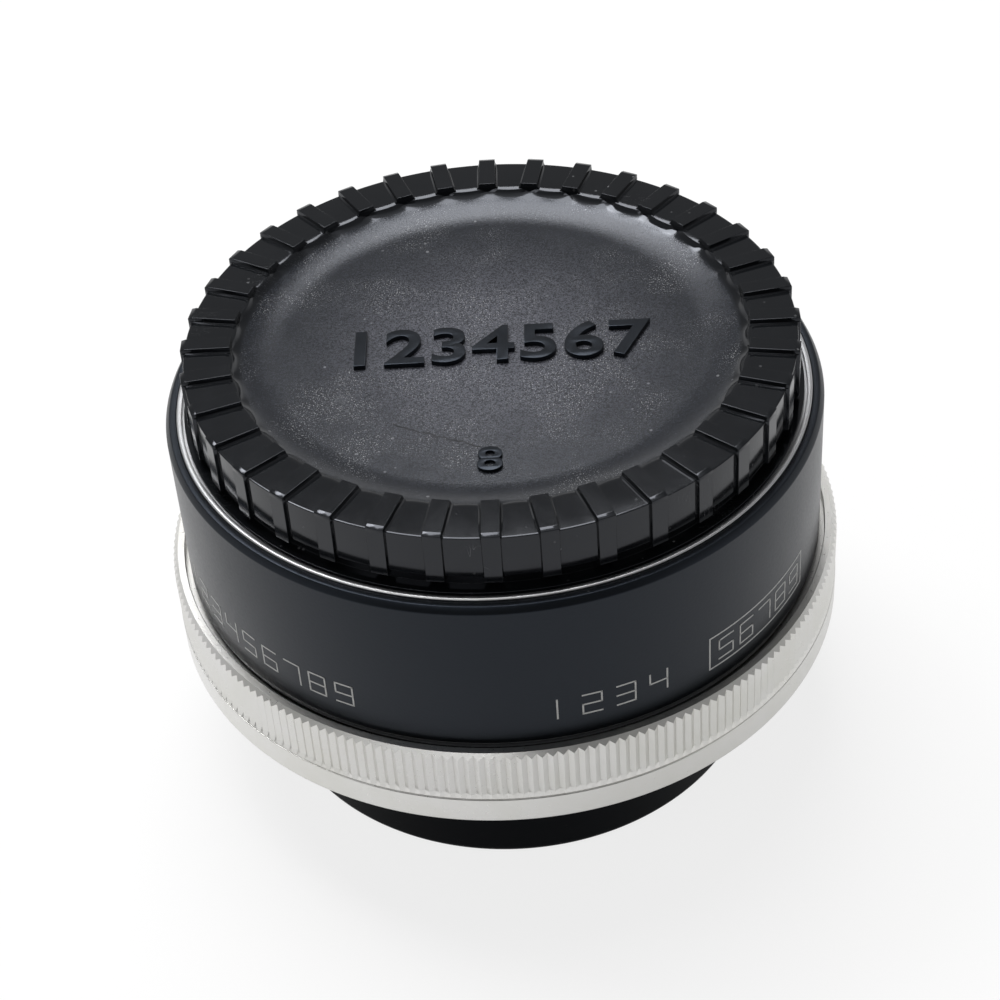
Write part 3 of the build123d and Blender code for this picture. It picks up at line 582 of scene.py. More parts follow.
# painted shade: the rear cap's moulding is made darker than the other black mouldings for the ring's shadow
# over it
SHADED_REAR_PLASTIC = Moulding("shaded_rear_cap_moulding", "rear_cap_plastic", level=0.0012, specular=0.05)
BAFFLE_PLASTIC = Moulding("baffle_moulding", "black_plastic", roughness=0.55, grain_depth=0.01)
RING_SILVER = SatinMetal(
    "satin_silver_ring",
    "satin_silver",
    (0.69, 0.685, 0.67),
    turning=0.3,
    groove_radius=32.62,
    groove_low=16.74,
    groove_high=16.88,
)
MOUNT_CHROME = SatinMetal("satin_chrome_mount", "chrome_mount", (0.5, 0.505, 0.52), 0.32, 0.8, 0.001)
RING_BRASS = SatinMetal("turned_brass", "brass_ring", (0.66, 0.5, 0.25), 0.3, 0.9, 0.002)
SCREW_STEEL = BareSteel("screw_steel", "screw_steel")
SPRING_STEEL = BareSteel("spring_wire", "spring_steel", (0.55, 0.54, 0.52), 0.3)
LEVER_STEEL = BareSteel("plated_levers", "lever_steel", (0.52, 0.52, 0.5), 0.33)
RED_DOT = Enamel("red_enamel", "red_paint")
NUMBER_PAINT = Enamel("pale_fill", "black_anodised", (0.47, 0.47, 0.46), 0.5)
GLASS = CoatedGlass("coated_glass", "coated_glass")


# Modelling

SAME_PLACE = 1e-6
NEAR = 0.01
CLOSE = 0.1


def deselect() -> None:
    """Leaves nothing selected."""
    bpy.ops.object.select_all(action="DESELECT")


def only(*pieces: Piece) -> None:
    """Selects these objects alone and makes the first active."""
    deselect()
    for piece in pieces:
        piece.select_set(True)
    bpy.context.view_layer.objects.active = pieces[0]


def leave() -> None:
    """Returns to object mode."""
    bpy.ops.object.mode_set(mode="OBJECT")


@contextmanager
def editing(select: str = "SELECT") -> Iterator[None]:
    """Edits the active piece, with all or nothing selected at first.

    Args:
        select: SELECT or DESELECT.

    Yields:
        Nothing; the piece is in edit mode meanwhile.
    """
    bpy.ops.object.mode_set(mode="EDIT")
    bpy.ops.mesh.select_mode(type="VERT")
    bpy.ops.mesh.select_all(action=select)
    yield
    leave()


@contextmanager
def picked(piece: Piece, test: CornerTest) -> Iterator[None]:
    """Edits a piece with only some corners selected.

    Args:
        piece: the piece to work on.
        test: says of a corner's radius and height, in millimetres, and its number whether it is taken.

    Yields:
        Nothing; the piece is in edit mode meanwhile.
    """
    only(piece)
    with editing("DESELECT"):
        pass  # edges and faces lose their selection here, corners are then taken one by one
    for vertex in piece.data.vertices:
        vertex.select = test(math.hypot(vertex.co.x, vertex.co.y) / MM, vertex.co.z / MM, vertex.index)
    bpy.ops.object.mode_set(mode="EDIT")
    yield
    leave()


def scale_out(share: float) -> None:
    """Scales what is selected away from the optical axis."""
    bpy.ops.transform.resize(value=(share, share, 1.0), center_override=(0.0, 0.0, 0.0))


def widen(share: float) -> None:
    """Scales what is selected along Y alone."""
    bpy.ops.transform.resize(value=(1.0, share, 1.0), center_override=(0.0, 0.0, 0.0))


def raise_by(lift: float) -> None:
    """Lifts what is selected, in millimetres."""
    bpy.ops.transform.translate(value=(0.0, 0.0, lift * MM))


def extrude_by(lift: float) -> None:
    """Extrudes what is selected upwards, in millimetres."""
    bpy.ops.mesh.extrude_region_move(TRANSFORM_OT_translate={"value": (0.0, 0.0, lift * MM)})


def grow(radius: float, height: float, last: Point) -> None:
    """Extrudes the selected ring of edges from its last radius and height to new ones.

    Args:
        radius: the new radius, in millimetres.
        height: the new height, in millimetres.
        last: the radius and height that the ring has.
    """
    extrude_by(height - last[1])
    if radius != last[0]:
        scale_out(radius / last[0])


def clean() -> None:
    """Merges doubles and turns faces outwards, in edit mode."""
    bpy.ops.mesh.select_all(action="SELECT")
    bpy.ops.mesh.remove_doubles(threshold=SAME_PLACE)
    bpy.ops.mesh.normals_make_consistent(inside=False)


def settle(piece: Piece) -> None:
    """Puts a piece's place into its mesh."""
    only(piece)
    bpy.ops.object.transform_apply(location=True, rotation=True, scale=True)


def named(name: str) -> Piece:
    """Gives the piece that was just added its name.

    Args:
        name: the piece's name.

    Returns:
        The piece.
    """
    piece = bpy.context.object
    piece.name = piece.data.name = name
    return piece


def turn(name: str, outline: Sequence[Point], sides: int = 256) -> Piece:
    """Turns a piece about the optical axis.

    Args:
        name: the piece's name.
        outline: radius and height of each corner; a radius of zero closes a face at the axis.
        sides: how many sides a full turn has.

    Returns:
        The piece, with one clean mesh.
    """
    deselect()
    radius, height = outline[0]
    bpy.ops.mesh.primitive_circle_add(vertices=sides, radius=radius * MM, location=(0.0, 0.0, height * MM))
    piece = named(name)
    last = outline[0]
    with editing():
        for point in outline[1:]:
            grow(*point, last)
            last = (max(point[0], SAME_PLACE), point[1])
        clean()
    settle(piece)
    return piece


def ring(name: str, section: Sequence[Point], sides: int = 256) -> Piece:
    """Turns a closed section about the optical axis."""
    return turn(name, [*section, section[0]], sides)


def band(name: str, radii: Point, heights: Point, sides: int = 256) -> Piece:
    """Turns a plain upright section, from an inner to an outer radius and from a lower to an upper face."""
    (inner, outer), (low, high) = radii, heights
    return ring(name, [(inner, low), (outer, low), (outer, high), (inner, high)], sides)


def merge_into(piece: Piece, others: Sequence[Piece]) -> None:
    """Joins open skins into the first and closes the seams between them.

    Args:
        piece: the first skin, which keeps its name.
        others: the other skins.
    """
    join(piece, others)
    with editing():
        clean()


def smooth(piece: Piece, angle: float) -> None:
    """Shades a piece smooth across edges below an angle in degrees, and keeps its large faces flat.

    Args:
        piece: the piece to shade.
        angle: the angle from which an edge stays sharp, in degrees.
    """
    only(piece)
    bpy.ops.object.shade_smooth_by_angle(angle=math.radians(angle))
    flat = piece.modifiers.new("flat_faces", "WEIGHTED_NORMAL")
    flat.keep_sharp = True
    bpy.ops.object.modifier_apply(modifier=flat.name)


def round_edges(piece: Piece, edge: Edge, above: float = 28.0) -> None:
    """Rounds the sharp edges of a piece and shades it smooth.

    Args:
        piece: the piece to work on.
        edge: how far its edges are rounded.
        above: the angle in degrees from which an edge counts as sharp.
    """
    only(piece)
    bevel = piece.modifiers.new("edges", "BEVEL")
    bevel.width = edge.value * MM
    bevel.segments = 2
    bevel.limit_method = "ANGLE"
    bevel.angle_limit = math.radians(above)
    bpy.ops.object.modifier_apply(modifier=bevel.name)
    smooth(piece, 50.0)


def block(name: str, centre: Sequence[float], size: Sequence[float], turned: float = 0.0) -> Piece:
    """A box, as a start for a piece or a cutter.

    Args:
        name: its name.
        centre: its middle, in millimetres.
        size: its length, width and height, in millimetres.
        turned: how far it is turned about Z, in degrees.

    Returns:
        The box, settled.
    """
    deselect()
    place = tuple(value * MM for value in centre)
    bpy.ops.mesh.primitive_cube_add(size=1.0, location=place, rotation=(0.0, 0.0, math.radians(turned)))
    piece = named(name)
    piece.scale = tuple(value * MM for value in size)
    settle(piece)
    return piece


def sector(name: str, radii: Point, heights: Point, bearing: float, arc: float, steps: int = 48) -> Piece:
    """Spins an upright rectangle through an arc.

    Args:
        name: the piece's name.
        radii: its inner and outer radius, in millimetres.
        heights: its lower and upper face, in millimetres.
        bearing: where its middle stands, in degrees.
        arc: how far it reaches, in degrees.
        steps: how many sides the arc has.

    Returns:
        The closed piece.
    """
    deselect()
    start = math.radians(bearing + arc / 2.0)
    middle = (radii[0] + radii[1]) / 2.0 * MM
    bpy.ops.mesh.primitive_plane_add(
        size=1.0,
        location=(middle * math.cos(start), middle * math.sin(start), (heights[0] + heights[1]) / 2.0 * MM),
        rotation=(math.pi / 2.0, 0.0, start),
    )
    piece = named(name)
    piece.scale = ((radii[1] - radii[0]) * MM, (heights[1] - heights[0]) * MM, 1.0)
    settle(piece)
    with editing():
        bpy.ops.mesh.spin(steps=steps, angle=math.radians(arc), center=(0.0, 0.0, 0.0), axis=(0.0, 0.0, 1.0))
        clean()
    return piece


def three_tabs(name: str, radii: Point, heights: Point, bearings: Sequence[float], arc: float) -> list[Piece]:
    """Three rounded sectors alike, at three bearings.

    Args:
        name: their name.
        radii: inner and outer radius, in millimetres.
        heights: lower and upper face, in millimetres.
        bearings: where their middles stand, in degrees.
        arc: how far each reaches, in degrees.

    Returns:
        The three pieces.
    """
    tabs = [sector(name, radii, heights, bearing, arc) for bearing in bearings]
    for tab in tabs:
        round_edges(tab, Edge.TURNED)
    return tabs


def carve(piece: Piece, cutters: Sequence[Piece], operation: str = "DIFFERENCE") -> None:
    """Cuts tools out of a piece, or unites them with it, and removes the tools.

    Args:
        piece: the piece to work on.
        cutters: the tools, one after the other.
        operation: DIFFERENCE or UNION.
    """
    for cutter in cutters:
        only(piece)
        cut = piece.modifiers.new("cut", "BOOLEAN")
        cut.operation = operation
        cut.solver = "EXACT"
        cut.object = cutter
        bpy.ops.object.modifier_apply(modifier=cut.name)
        bpy.data.objects.remove(cutter)


def copies_round(piece: Piece, bearings: Sequence[float]) -> list[Piece]:
    """Copies a piece made at bearing 0 to each bearing and removes the first.

    Args:
        piece: the piece at bearing 0.
        bearings: where the copies go, in degrees.

    Returns:
        The copies, each with its own mesh.
    """
    made = []
    for index, bearing in enumerate(bearings):
        copy = piece.copy()
        copy.data = piece.data.copy()
        copy.name = copy.data.name = f"{piece.name}_{index + 1}"
        bpy.context.scene.collection.objects.link(copy)
        copy.rotation_euler = (0.0, 0.0, math.radians(bearing))
        settle(copy)
        made.append(copy)
    bpy.data.objects.remove(piece)
    return made


def join(piece: Piece, others: Sequence[Piece]) -> None:
    """Joins pieces into the first."""
    only(piece, *others)
    bpy.ops.object.join()


def around(radius: float, bearing: float) -> Point:
    """Point at a radius and a bearing in degrees."""
    return (radius * math.cos(math.radians(bearing)), radius * math.sin(math.radians(bearing)))


def post(name: str, radius: float, heights: Point, centre: Point) -> Piece:
    """An upright pin.

    Args:
        name: its name.
        radius: its radius, in millimetres.
        heights: its lower and upper end, in millimetres.
        centre: where its axis stands, in millimetres.

    Returns:
        The pin, settled.
    """
    deselect()
    bpy.ops.mesh.primitive_cylinder_add(
        vertices=32,
        radius=radius * MM,
        depth=(heights[1] - heights[0]) * MM,
        location=(centre[0] * MM, centre[1] * MM, (heights[0] + heights[1]) / 2.0 * MM),
    )
    piece = named(name)
    settle(piece)
    return piece


def cross_screw(name: str, radius: float, top: float, centre: Point) -> Piece:
    """A countersunk screw with a cross recess, in its place.

    Args:
        name: the screw's name.
        radius: radius of the head, in millimetres.
        top: height of the head's flat.
        centre: where its axis stands.

    Returns:
        The head with its shank's upper end.
    """
    shank = radius * 0.55
    outline = [(radius, 0.0), (radius, -0.06), (shank, -0.55), (shank, -2.4), (0.0, -2.4)]
    head = turn(name, outline, 48)
    with picked(head, lambda out, up, index: abs(up) < 0.001):
        bpy.ops.mesh.edge_face_add()
    for turned in (20.0, 110.0):
        carve(head, [block("blade", (0.0, 0.0, -0.1), (radius * 1.25, radius * 0.28, 0.7), turned)])
    round_edges(head, Edge.CRISP)
    head.location = (centre[0] * MM, centre[1] * MM, (top - 0.02) * MM)
    settle(head)
    return head


class Finisher:
    """Dresses pieces and hands them to the frame."""

    def __init__(self) -> None:
        """Starts with no material made."""
        self.made: dict[str, bpy.types.Material] = {}

    def paint(self, piece: Piece, finish: Finish) -> None:
        """Puts a finish on every face of a piece.

        Args:
            piece: the piece to paint.
            finish: its finish; the material is made once and shared.
        """
        if finish.name not in self.made:
            self.made[finish.name] = finish.material()
        if piece.data.materials:
            for slot in piece.material_slots:
                slot.material = self.made[finish.name]
        else:
            piece.data.materials.append(self.made[finish.name])

    def fit(self, piece: Piece, finish: Finish, body: str, *nodes: str) -> None:
        """Paints a piece and lets it ride on a body.

        Args:
            piece: the finished piece.
            finish: its finish.
            body: the body it moves with.
            nodes: the frame's nodes it stands for, if any.
        """
        self.paint(piece, finish)
        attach(piece, body)
        if nodes:
            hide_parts(*nodes)
        LOG.info("%s rides on %s: %d faces", piece.name, body, len(piece.data.polygons))

    def dress(self, finishes: Mapping[str, Finish]) -> None:
        """Gives nodes of the frame that keep their own shape their finish.

        Args:
            finishes: a finish for each node's name.
        """
        for node, finish in finishes.items():
            self.paint(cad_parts[node], finish)
            LOG.info("%s keeps its own shape", node)


# Sub-assemblies; their sizes are in millimetres, from the surface that the rear cap stands on


@dataclass
class FrontCap:
    """Ribbed dust cap with a sunk middle, raised numbers and three tabs."""

    radius: float = 28.45
    bore: float = 26.7
    skirt: float = 27.9
    top: float = 44.65
    land_bottom: float = 40.3
    bottom: float = 38.4
    floor: float = 43.15
    floor_radius: float = 12.0
    ceiling: float = 41.75
    ceiling_radius: float = 20.2
    ceiling_shoulder: float = 22.6
    crown: float = 1.4
    axis_gap: float = 0.2
    rim: float = 24.0
    slope_reach: float = 4.4
    slope_steps: int = 12
    ribs: int = 36
    sides_per_rib: int = 8
    first_rib: float = 7.7
    rib_top: float = 45.15
    rib_reach: float = 28.74
    rib_bottom: float = 39.85
    rib_inner: float = 23.95
    rib_hang: float = 0.5
    rib_root: float = 44.05
    rib_end_slope: float = 0.15
    rib_slope: float = 0.42
    rib_slope_drop: float = 0.13
    rib_width: float = 2.15
    rib_crest: float = 1.6
    fillet_top: float = 0.11
    fillet_foot: float = 0.02
    fillet_share: float = 1.14
    fillet_reach: float = 28.4
    foot: float = 29.15
    foot_top: float = 39.05
    scallop_depth: float = 0.35
    scallop_steps: int = 3
    lip: float = 0.2
    lip_drop: float = 0.4
    land_slope: float = 0.35
    land_slope_drop: float = 0.11
    chamfer: float = 0.17
    chamfer_drop: float = 0.058
    tab_radii: Point = (25.35, 27.0)
    tab_heights: Point = (38.5, 39.8)
    tab_arc: float = 50.0
    number_turn: float = -2.7

    def dish(self) -> list[Point]:
        """Corners of the sunk middle, from the land to the axis, on a soft slope.

        Returns:
            Radius and height of each corner.
        """
        start = self.top - self.lip_drop
        slope = []
        for step in range(1, self.slope_steps + 1):
            share = step / self.slope_steps
            fall = 1.0 - (1.0 - share) ** 2
            slope.append((self.rim - self.slope_reach * share, start - (start - self.floor) * fall))
        edge = self.rim + self.lip
        return [
            (edge + self.land_slope, self.top),
            (edge, self.top - self.land_slope_drop),
            (self.rim, start),
            *slope,
            (self.floor_radius, self.floor),
            (0.0, self.floor),
        ]

    def shell(self) -> Piece:
        """Turns the cap's body as one closed skin.

        Returns:
            The cap without its ribs and tabs.
        """
        shoulder = (self.radius - self.chamfer, self.top)
        under = [
            (self.axis_gap, self.ceiling),
            (self.ceiling_radius, self.ceiling),
            (self.ceiling_shoulder, self.top - self.crown),
            (self.bore, self.top - self.crown),
            (self.bore, self.bottom),
            (self.foot, self.bottom),
            (self.foot, self.foot_top),
            (self.skirt, self.foot_top),
            (self.skirt, self.land_bottom),
            (self.radius, self.land_bottom),
            (self.radius, self.top - self.chamfer_drop),
            shoulder,
        ]
        sides = self.ribs * self.sides_per_rib
        lower = turn("cap_under", under, sides)
        with picked(lower, lambda out, up, index: out < self.axis_gap + CLOSE):
            bpy.ops.mesh.edge_face_add()
        upper = turn("front_cap_moulding", [shoulder, *self.dish()], sides)
        self.scallop(upper)
        merge_into(upper, [lower])
        return upper

    def scallop(self, piece: Piece) -> None:
        """Draws the land's inner edge inwards between the ribs, and the top of the slope a little with it.

        Args:
            piece: the cap's upper skin.
        """
        count = self.sides_per_rib
        sides = self.ribs * count
        turned = [
            round(math.degrees(math.atan2(vertex.co.y, vertex.co.x)) * sides / 360.0) % count
            for vertex in piece.data.vertices
        ]
        near = CLOSE / 2.0
        for step in range(self.scallop_steps - 1, -2, -1):
            inwards = self.slope_reach * step / self.slope_steps if step >= 0 else -self.lip
            radius = self.rim - inwards
            fade = 1.0 - max(step, 0) / self.scallop_steps
            for offset in range(1, count):
                reach = self.scallop_depth * fade * math.sin(math.pi * offset / count) / radius
                with picked(piece, lambda out, up, at: turned[at] == offset and abs(out - radius) < near):
                    scale_out(1.0 - reach)

    def rib(self) -> Piece:
        """Shapes one rib at bearing 0: drafted flanks, sloped ends, filleted foot, and a hanging side.

        Returns:
            The rib with rounded edges.
        """
        length = self.rib_reach - self.rib_inner
        height = self.rib_top - self.rib_root
        centre = (self.rib_inner + length / 2.0, 0.0, self.rib_top - height / 2.0)
        piece = block("rib", centre, (length, self.rib_width, height))
        hang = self.skirt - self.rib_hang
        crest = self.rib_crest / self.rib_width
        edge, outer = self.rib_top - CLOSE, self.rib_reach - CLOSE
        with editing():
            bpy.ops.mesh.bisect(plane_co=(hang * MM, 0.0, 0.0), plane_no=(1.0, 0.0, 0.0))
        with picked(piece, lambda out, up, index: out > hang - CLOSE and up < self.rib_root + CLOSE):
            extrude_by(self.rib_bottom - self.rib_root)
        with picked(piece, lambda out, up, index: up > edge):
            widen(crest)
        with picked(piece, lambda out, up, index: out > outer and up < edge):
            widen(crest)
        with picked(piece, lambda out, up, index: out < self.rib_inner + 2.0 * CLOSE and up > edge):
            bpy.ops.transform.translate(value=(self.rib_end_slope * MM, 0.0, 0.0))
        with editing():
            slope = self.rib_reach - self.rib_slope
            bpy.ops.mesh.bisect(plane_co=(slope * MM, 0.0, 0.0), plane_no=(1.0, 0.0, 0.0))
            for level in (self.top + self.fillet_top, self.top - self.fillet_foot):
                bpy.ops.mesh.select_all(action="SELECT")
                bpy.ops.mesh.bisect(plane_co=(0.0, 0.0, level * MM), plane_no=(0.0, 0.0, 1.0))
        foot = self.top - self.fillet_foot
        with picked(piece, lambda out, up, index: out < self.fillet_reach and abs(up - foot) < NEAR):
            widen(self.fillet_share)
        with picked(piece, lambda out, up, index: out > outer and up > edge):
            raise_by(-self.rib_slope_drop)
        round_edges(piece, Edge.CRISP, 15.0)
        return piece

    def numeral(self, name: str, text: str, size: float, centre: Point) -> Piece:
        """Raises a plain number from the sunk middle.

        Args:
            name: the piece's name.
            text: the digits.
            size: how tall the type is, in millimetres.
            centre: the middle of its foot, in millimetres.

        Returns:
            The number as a mesh.
        """
        deselect()
        bpy.ops.object.text_add(location=(centre[0] * MM, centre[1] * MM, (self.floor + 0.1) * MM))
        piece = bpy.context.object
        letters = piece.data
        letters.body = text
        letters.align_x = "CENTER"
        letters.size = 1.0
        letters.space_character = 1.05
        letters.offset = 0.012
        letters.extrude = 0.045
        letters.bevel_depth = 0.008
        letters.resolution_u = 6
        piece.scale = (size * 1.1 * MM, size * MM, size * MM)
        piece.rotation_euler = (0.0, 0.0, math.radians(self.number_turn))
        only(piece)
        bpy.ops.object.convert(target="MESH")
        piece = named(name)
        settle(piece)
        with editing():
            clean()
        smooth(piece, 40.0)
        return piece

    def build(self, finisher: Finisher) -> None:
        """Builds and dresses the cap.

        Args:
            finisher: dresses the pieces and hands them to the frame.
        """
        cap = self.shell()
        round_edges(cap, Edge.CRISP)
        bearings = [self.first_rib + 360.0 / self.ribs * step for step in range(self.ribs)]
        ribs = copies_round(self.rib(), bearings)
        cap.rotation_euler = (0.0, 0.0, math.radians(self.first_rib))
        settle(cap)
        join(cap, ribs + three_tabs("cap_tab", self.tab_radii, self.tab_heights, GAP_BEARINGS, self.tab_arc))
        finisher.fit(cap, CAP_PLASTIC, "front_cap", "front_cap")
        finisher.fit(self.numeral("raised_numbers", "1234567", 7.2, (0.3, -2.6)), CAP_GLOSS, "front_cap")
        finisher.fit(self.numeral("small_number", "8", 4.4, (-0.8, -18.1)), CAP_GLOSS, "front_cap")


STROKES = {
    "a": ((0.0, 1.0), (1.0, 1.0)),
    "b": ((1.0, 0.5), (1.0, 1.0)),
    "c": ((1.0, 0.0), (1.0, 0.5)),
    "d": ((0.0, 0.0), (1.0, 0.0)),
    "e": ((0.0, 0.0), (0.0, 0.5)),
    "f": ((0.0, 0.5), (0.0, 1.0)),
    "g": ((0.0, 0.5), (1.0, 0.5)),
    "h": ((0.5, 0.0), (0.5, 1.0)),
}
DIGITS = {
    "1": "h",
    "2": "abged",
    "3": "abgcd",
    "4": "fgbc",
    "5": "afgcd",
    "6": "afgecd",
    "7": "abc",
    "8": "abcdefg",
    "9": "abcdfg",
}


@dataclass
class Barrel:
    """Black barrel with its bevels, engraved numbers and alignment dot."""

    radius: float = 31.0
    top: float = 38.8
    bottom: float = 22.4
    bore: float = 27.03
    web_bore: float = 24.4
    web_heights: Point = (31.8, 36.9)
    mouth: float = 29.93
    tail: float = 21.6
    tail_radius: float = 30.75
    tail_shoulder: float = 22.15
    bevel_in: float = 0.4
    bevel_down: float = 0.6
    digit_height: float = 2.3
    digit_width: float = 1.75
    digit_base: float = 24.85
    stroke: float = 0.16
    proud: float = 0.012
    sunk: float = 0.03
    box_margin: float = 0.75
    box_span: Point = (-55.5, -28.6)
    rows: tuple[tuple[str, float, float], ...] = (
        ("123456789", -162.0, 5.3),
        ("1234", -83.5, 5.9),
        ("56789", -51.8, 5.0),
    )

    def bar(self, start: Point, end: Point) -> Piece:
        """One stroke of a digit, in the plane that touches the barrel at bearing 0.

        Args:
            start: its first end, in shares of a digit's width and height.
            end: its other end.

        Returns:
            The stroke as a thin block.
        """
        across, up = (end[0] - start[0]) * self.digit_width, (end[1] - start[1]) * self.digit_height
        aside = (start[0] + end[0] - 1.0) / 2.0 * self.digit_width
        height = self.digit_base + (start[1] + end[1]) / 2.0 * self.digit_height
        centre = (self.radius + self.proud - self.sunk, aside, height)
        return block("digit", centre, (2.0 * self.sunk, abs(across) + self.stroke, abs(up) + self.stroke))

    def digit(self, figure: str) -> Piece:
        """Draws a squared digit from straight strokes at bearing 0.

        Args:
            figure: the digit.

        Returns:
            The digit as one piece.
        """
        bars = [self.bar(*STROKES[stroke]) for stroke in DIGITS[figure]]
        if len(bars) > 1:
            join(bars[0], bars[1:])
        return bars[0]

    def row(self, figures: str, first: float, pitch: float) -> list[Piece]:
        """Sets digits side by side round the barrel.

        Args:
            figures: the digits.
            first: the first one's bearing, in degrees.
            pitch: degrees from one to the next.

        Returns:
            The digits.
        """
        made = []
        for index, figure in enumerate(figures):
            made += copies_round(self.digit(figure), [first + pitch * index])
        return made

    def box(self) -> list[Piece]:
        """Draws the box round the last row.

        Returns:
            Its four lines.
        """
        low = self.digit_base - self.box_margin
        high = self.digit_base + self.digit_height + self.box_margin
        radii = (self.radius - self.sunk, self.radius + self.proud)
        start, end = self.box_span
        upright = math.degrees(self.stroke / self.radius)
        lines = []
        middle, arc = (start + end) / 2.0, end - start
        for up in (low, high):
            lines.append(sector("box_line", radii, (up, up + self.stroke), middle, arc, 40))
        for bearing in self.box_span:
            lines.append(sector("box_side", radii, (low, high + self.stroke), bearing, upright, 2))
        return lines

    def tube(self) -> Piece:
        """Turns the tube and its web.

        Returns:
            The tube with sharp edges.
        """
        under, over = self.web_heights
        section = [
            (self.bore, self.tail),
            (self.tail_radius, self.tail),
            (self.tail_radius, self.tail_shoulder),
            (self.radius, self.bottom),
            (self.radius, self.top - self.bevel_down),
            (self.radius - self.bevel_in, self.top),
            (self.mouth, self.top),
            (self.mouth, over),
            (self.web_bore, over),
            (self.web_bore, under),
            (self.bore, under),
        ]
        return ring("barrel_tube", section, 320)

    def build(self, finisher: Finisher) -> None:
        """Builds and dresses the barrel.

        Args:
            finisher: dresses the pieces and hands them to the frame.
        """
        tube = self.tube()
        round_edges(tube, Edge.TURNED)
        finisher.fit(tube, BARREL_BLACK, "housing", "main_barrel")
        marks = [digit for row in self.rows for digit in self.row(*row)] + self.box()
        join(marks[0], marks[1:])
        marks[0].name = marks[0].data.name = "engraved_numbers"
        finisher.fit(marks[0], NUMBER_PAINT, "housing")
        finisher.dress({"front_index_dot": RED_DOT})


@dataclass
class FrontBayonet:
    """Chromed front mount with rim, neck, three lugs and its screws."""

    throat: float = 24.0
    neck: float = 25.2
    seat: float = 36.9
    flange: float = 29.6
    floor: float = 38.4
    lug_radii: Point = (24.6, 26.5)
    lug_heights: Point = (40.0, 41.2)
    lug_arc: float = 56.0
    mouth_chamfer: float = 0.2
    rim_radii: Point = (29.4, 29.9)
    rim_heights: Point = (37.0, 39.0)
    rim_bevel_in: float = 0.13
    rim_bevel_down: float = 0.1
    screw_circle: float = 27.3
    screw_radius: float = 1.28
    sink_radius: float = 1.33
    sink_depth: float = 0.6

    def screw_places(self) -> list[Point]:
        """Where the three screws stand."""
        return [around(self.screw_circle, bearing) for bearing in GAP_BEARINGS]

    def flange_with_lugs(self) -> Piece:
        """Turns the flange and its neck, adds the lugs and sinks the screw holes.

        Returns:
            The flange with rounded edges.
        """
        top = self.lug_heights[1]
        section = [
            (self.throat, self.seat),
            (self.flange, self.seat),
            (self.flange, self.floor),
            (self.neck, self.floor),
            (self.neck, top),
            (self.throat + self.mouth_chamfer, top),
            (self.throat, top - self.mouth_chamfer),
        ]
        mount = ring("front_mount_flange", section)
        lugs = [
            sector("lug", self.lug_radii, self.lug_heights, bearing, self.lug_arc) for bearing in LUG_BEARINGS
        ]
        carve(mount, lugs, "UNION")
        sink = (self.floor - self.sink_depth, self.floor + 1.0)
        carve(mount, [post("screw_sink", self.sink_radius, sink, place) for place in self.screw_places()])
        round_edges(mount, Edge.TURNED)
        return mount

    def rim(self) -> Piece:
        """Turns the thin bright rim that stands round the flange.

        Returns:
            The rim with rounded edges.
        """
        (inner, outer), (low, high) = self.rim_radii, self.rim_heights
        section = [
            (outer, low),
            (outer, high - self.rim_bevel_down),
            (outer - self.rim_bevel_in, high),
            (inner, high),
            (inner, low),
        ]
        rim = ring("front_mount_rim", section, 320)
        round_edges(rim, Edge.CRISP)
        return rim

    def build(self, finisher: Finisher) -> None:
        """Builds and dresses the mount.

        Args:
            finisher: dresses the pieces and hands them to the frame.
        """
        mount = self.flange_with_lugs()
        join(mount, [self.rim()])
        finisher.fit(mount, MOUNT_CHROME, "housing", "front_mount")
        places = self.screw_places()
        screws = [cross_screw("front_screw", self.screw_radius, self.floor, place) for place in places]
        join(screws[0], screws[1:])
        finisher.fit(screws[0], SCREW_STEEL, "housing", "front_mount_screws")


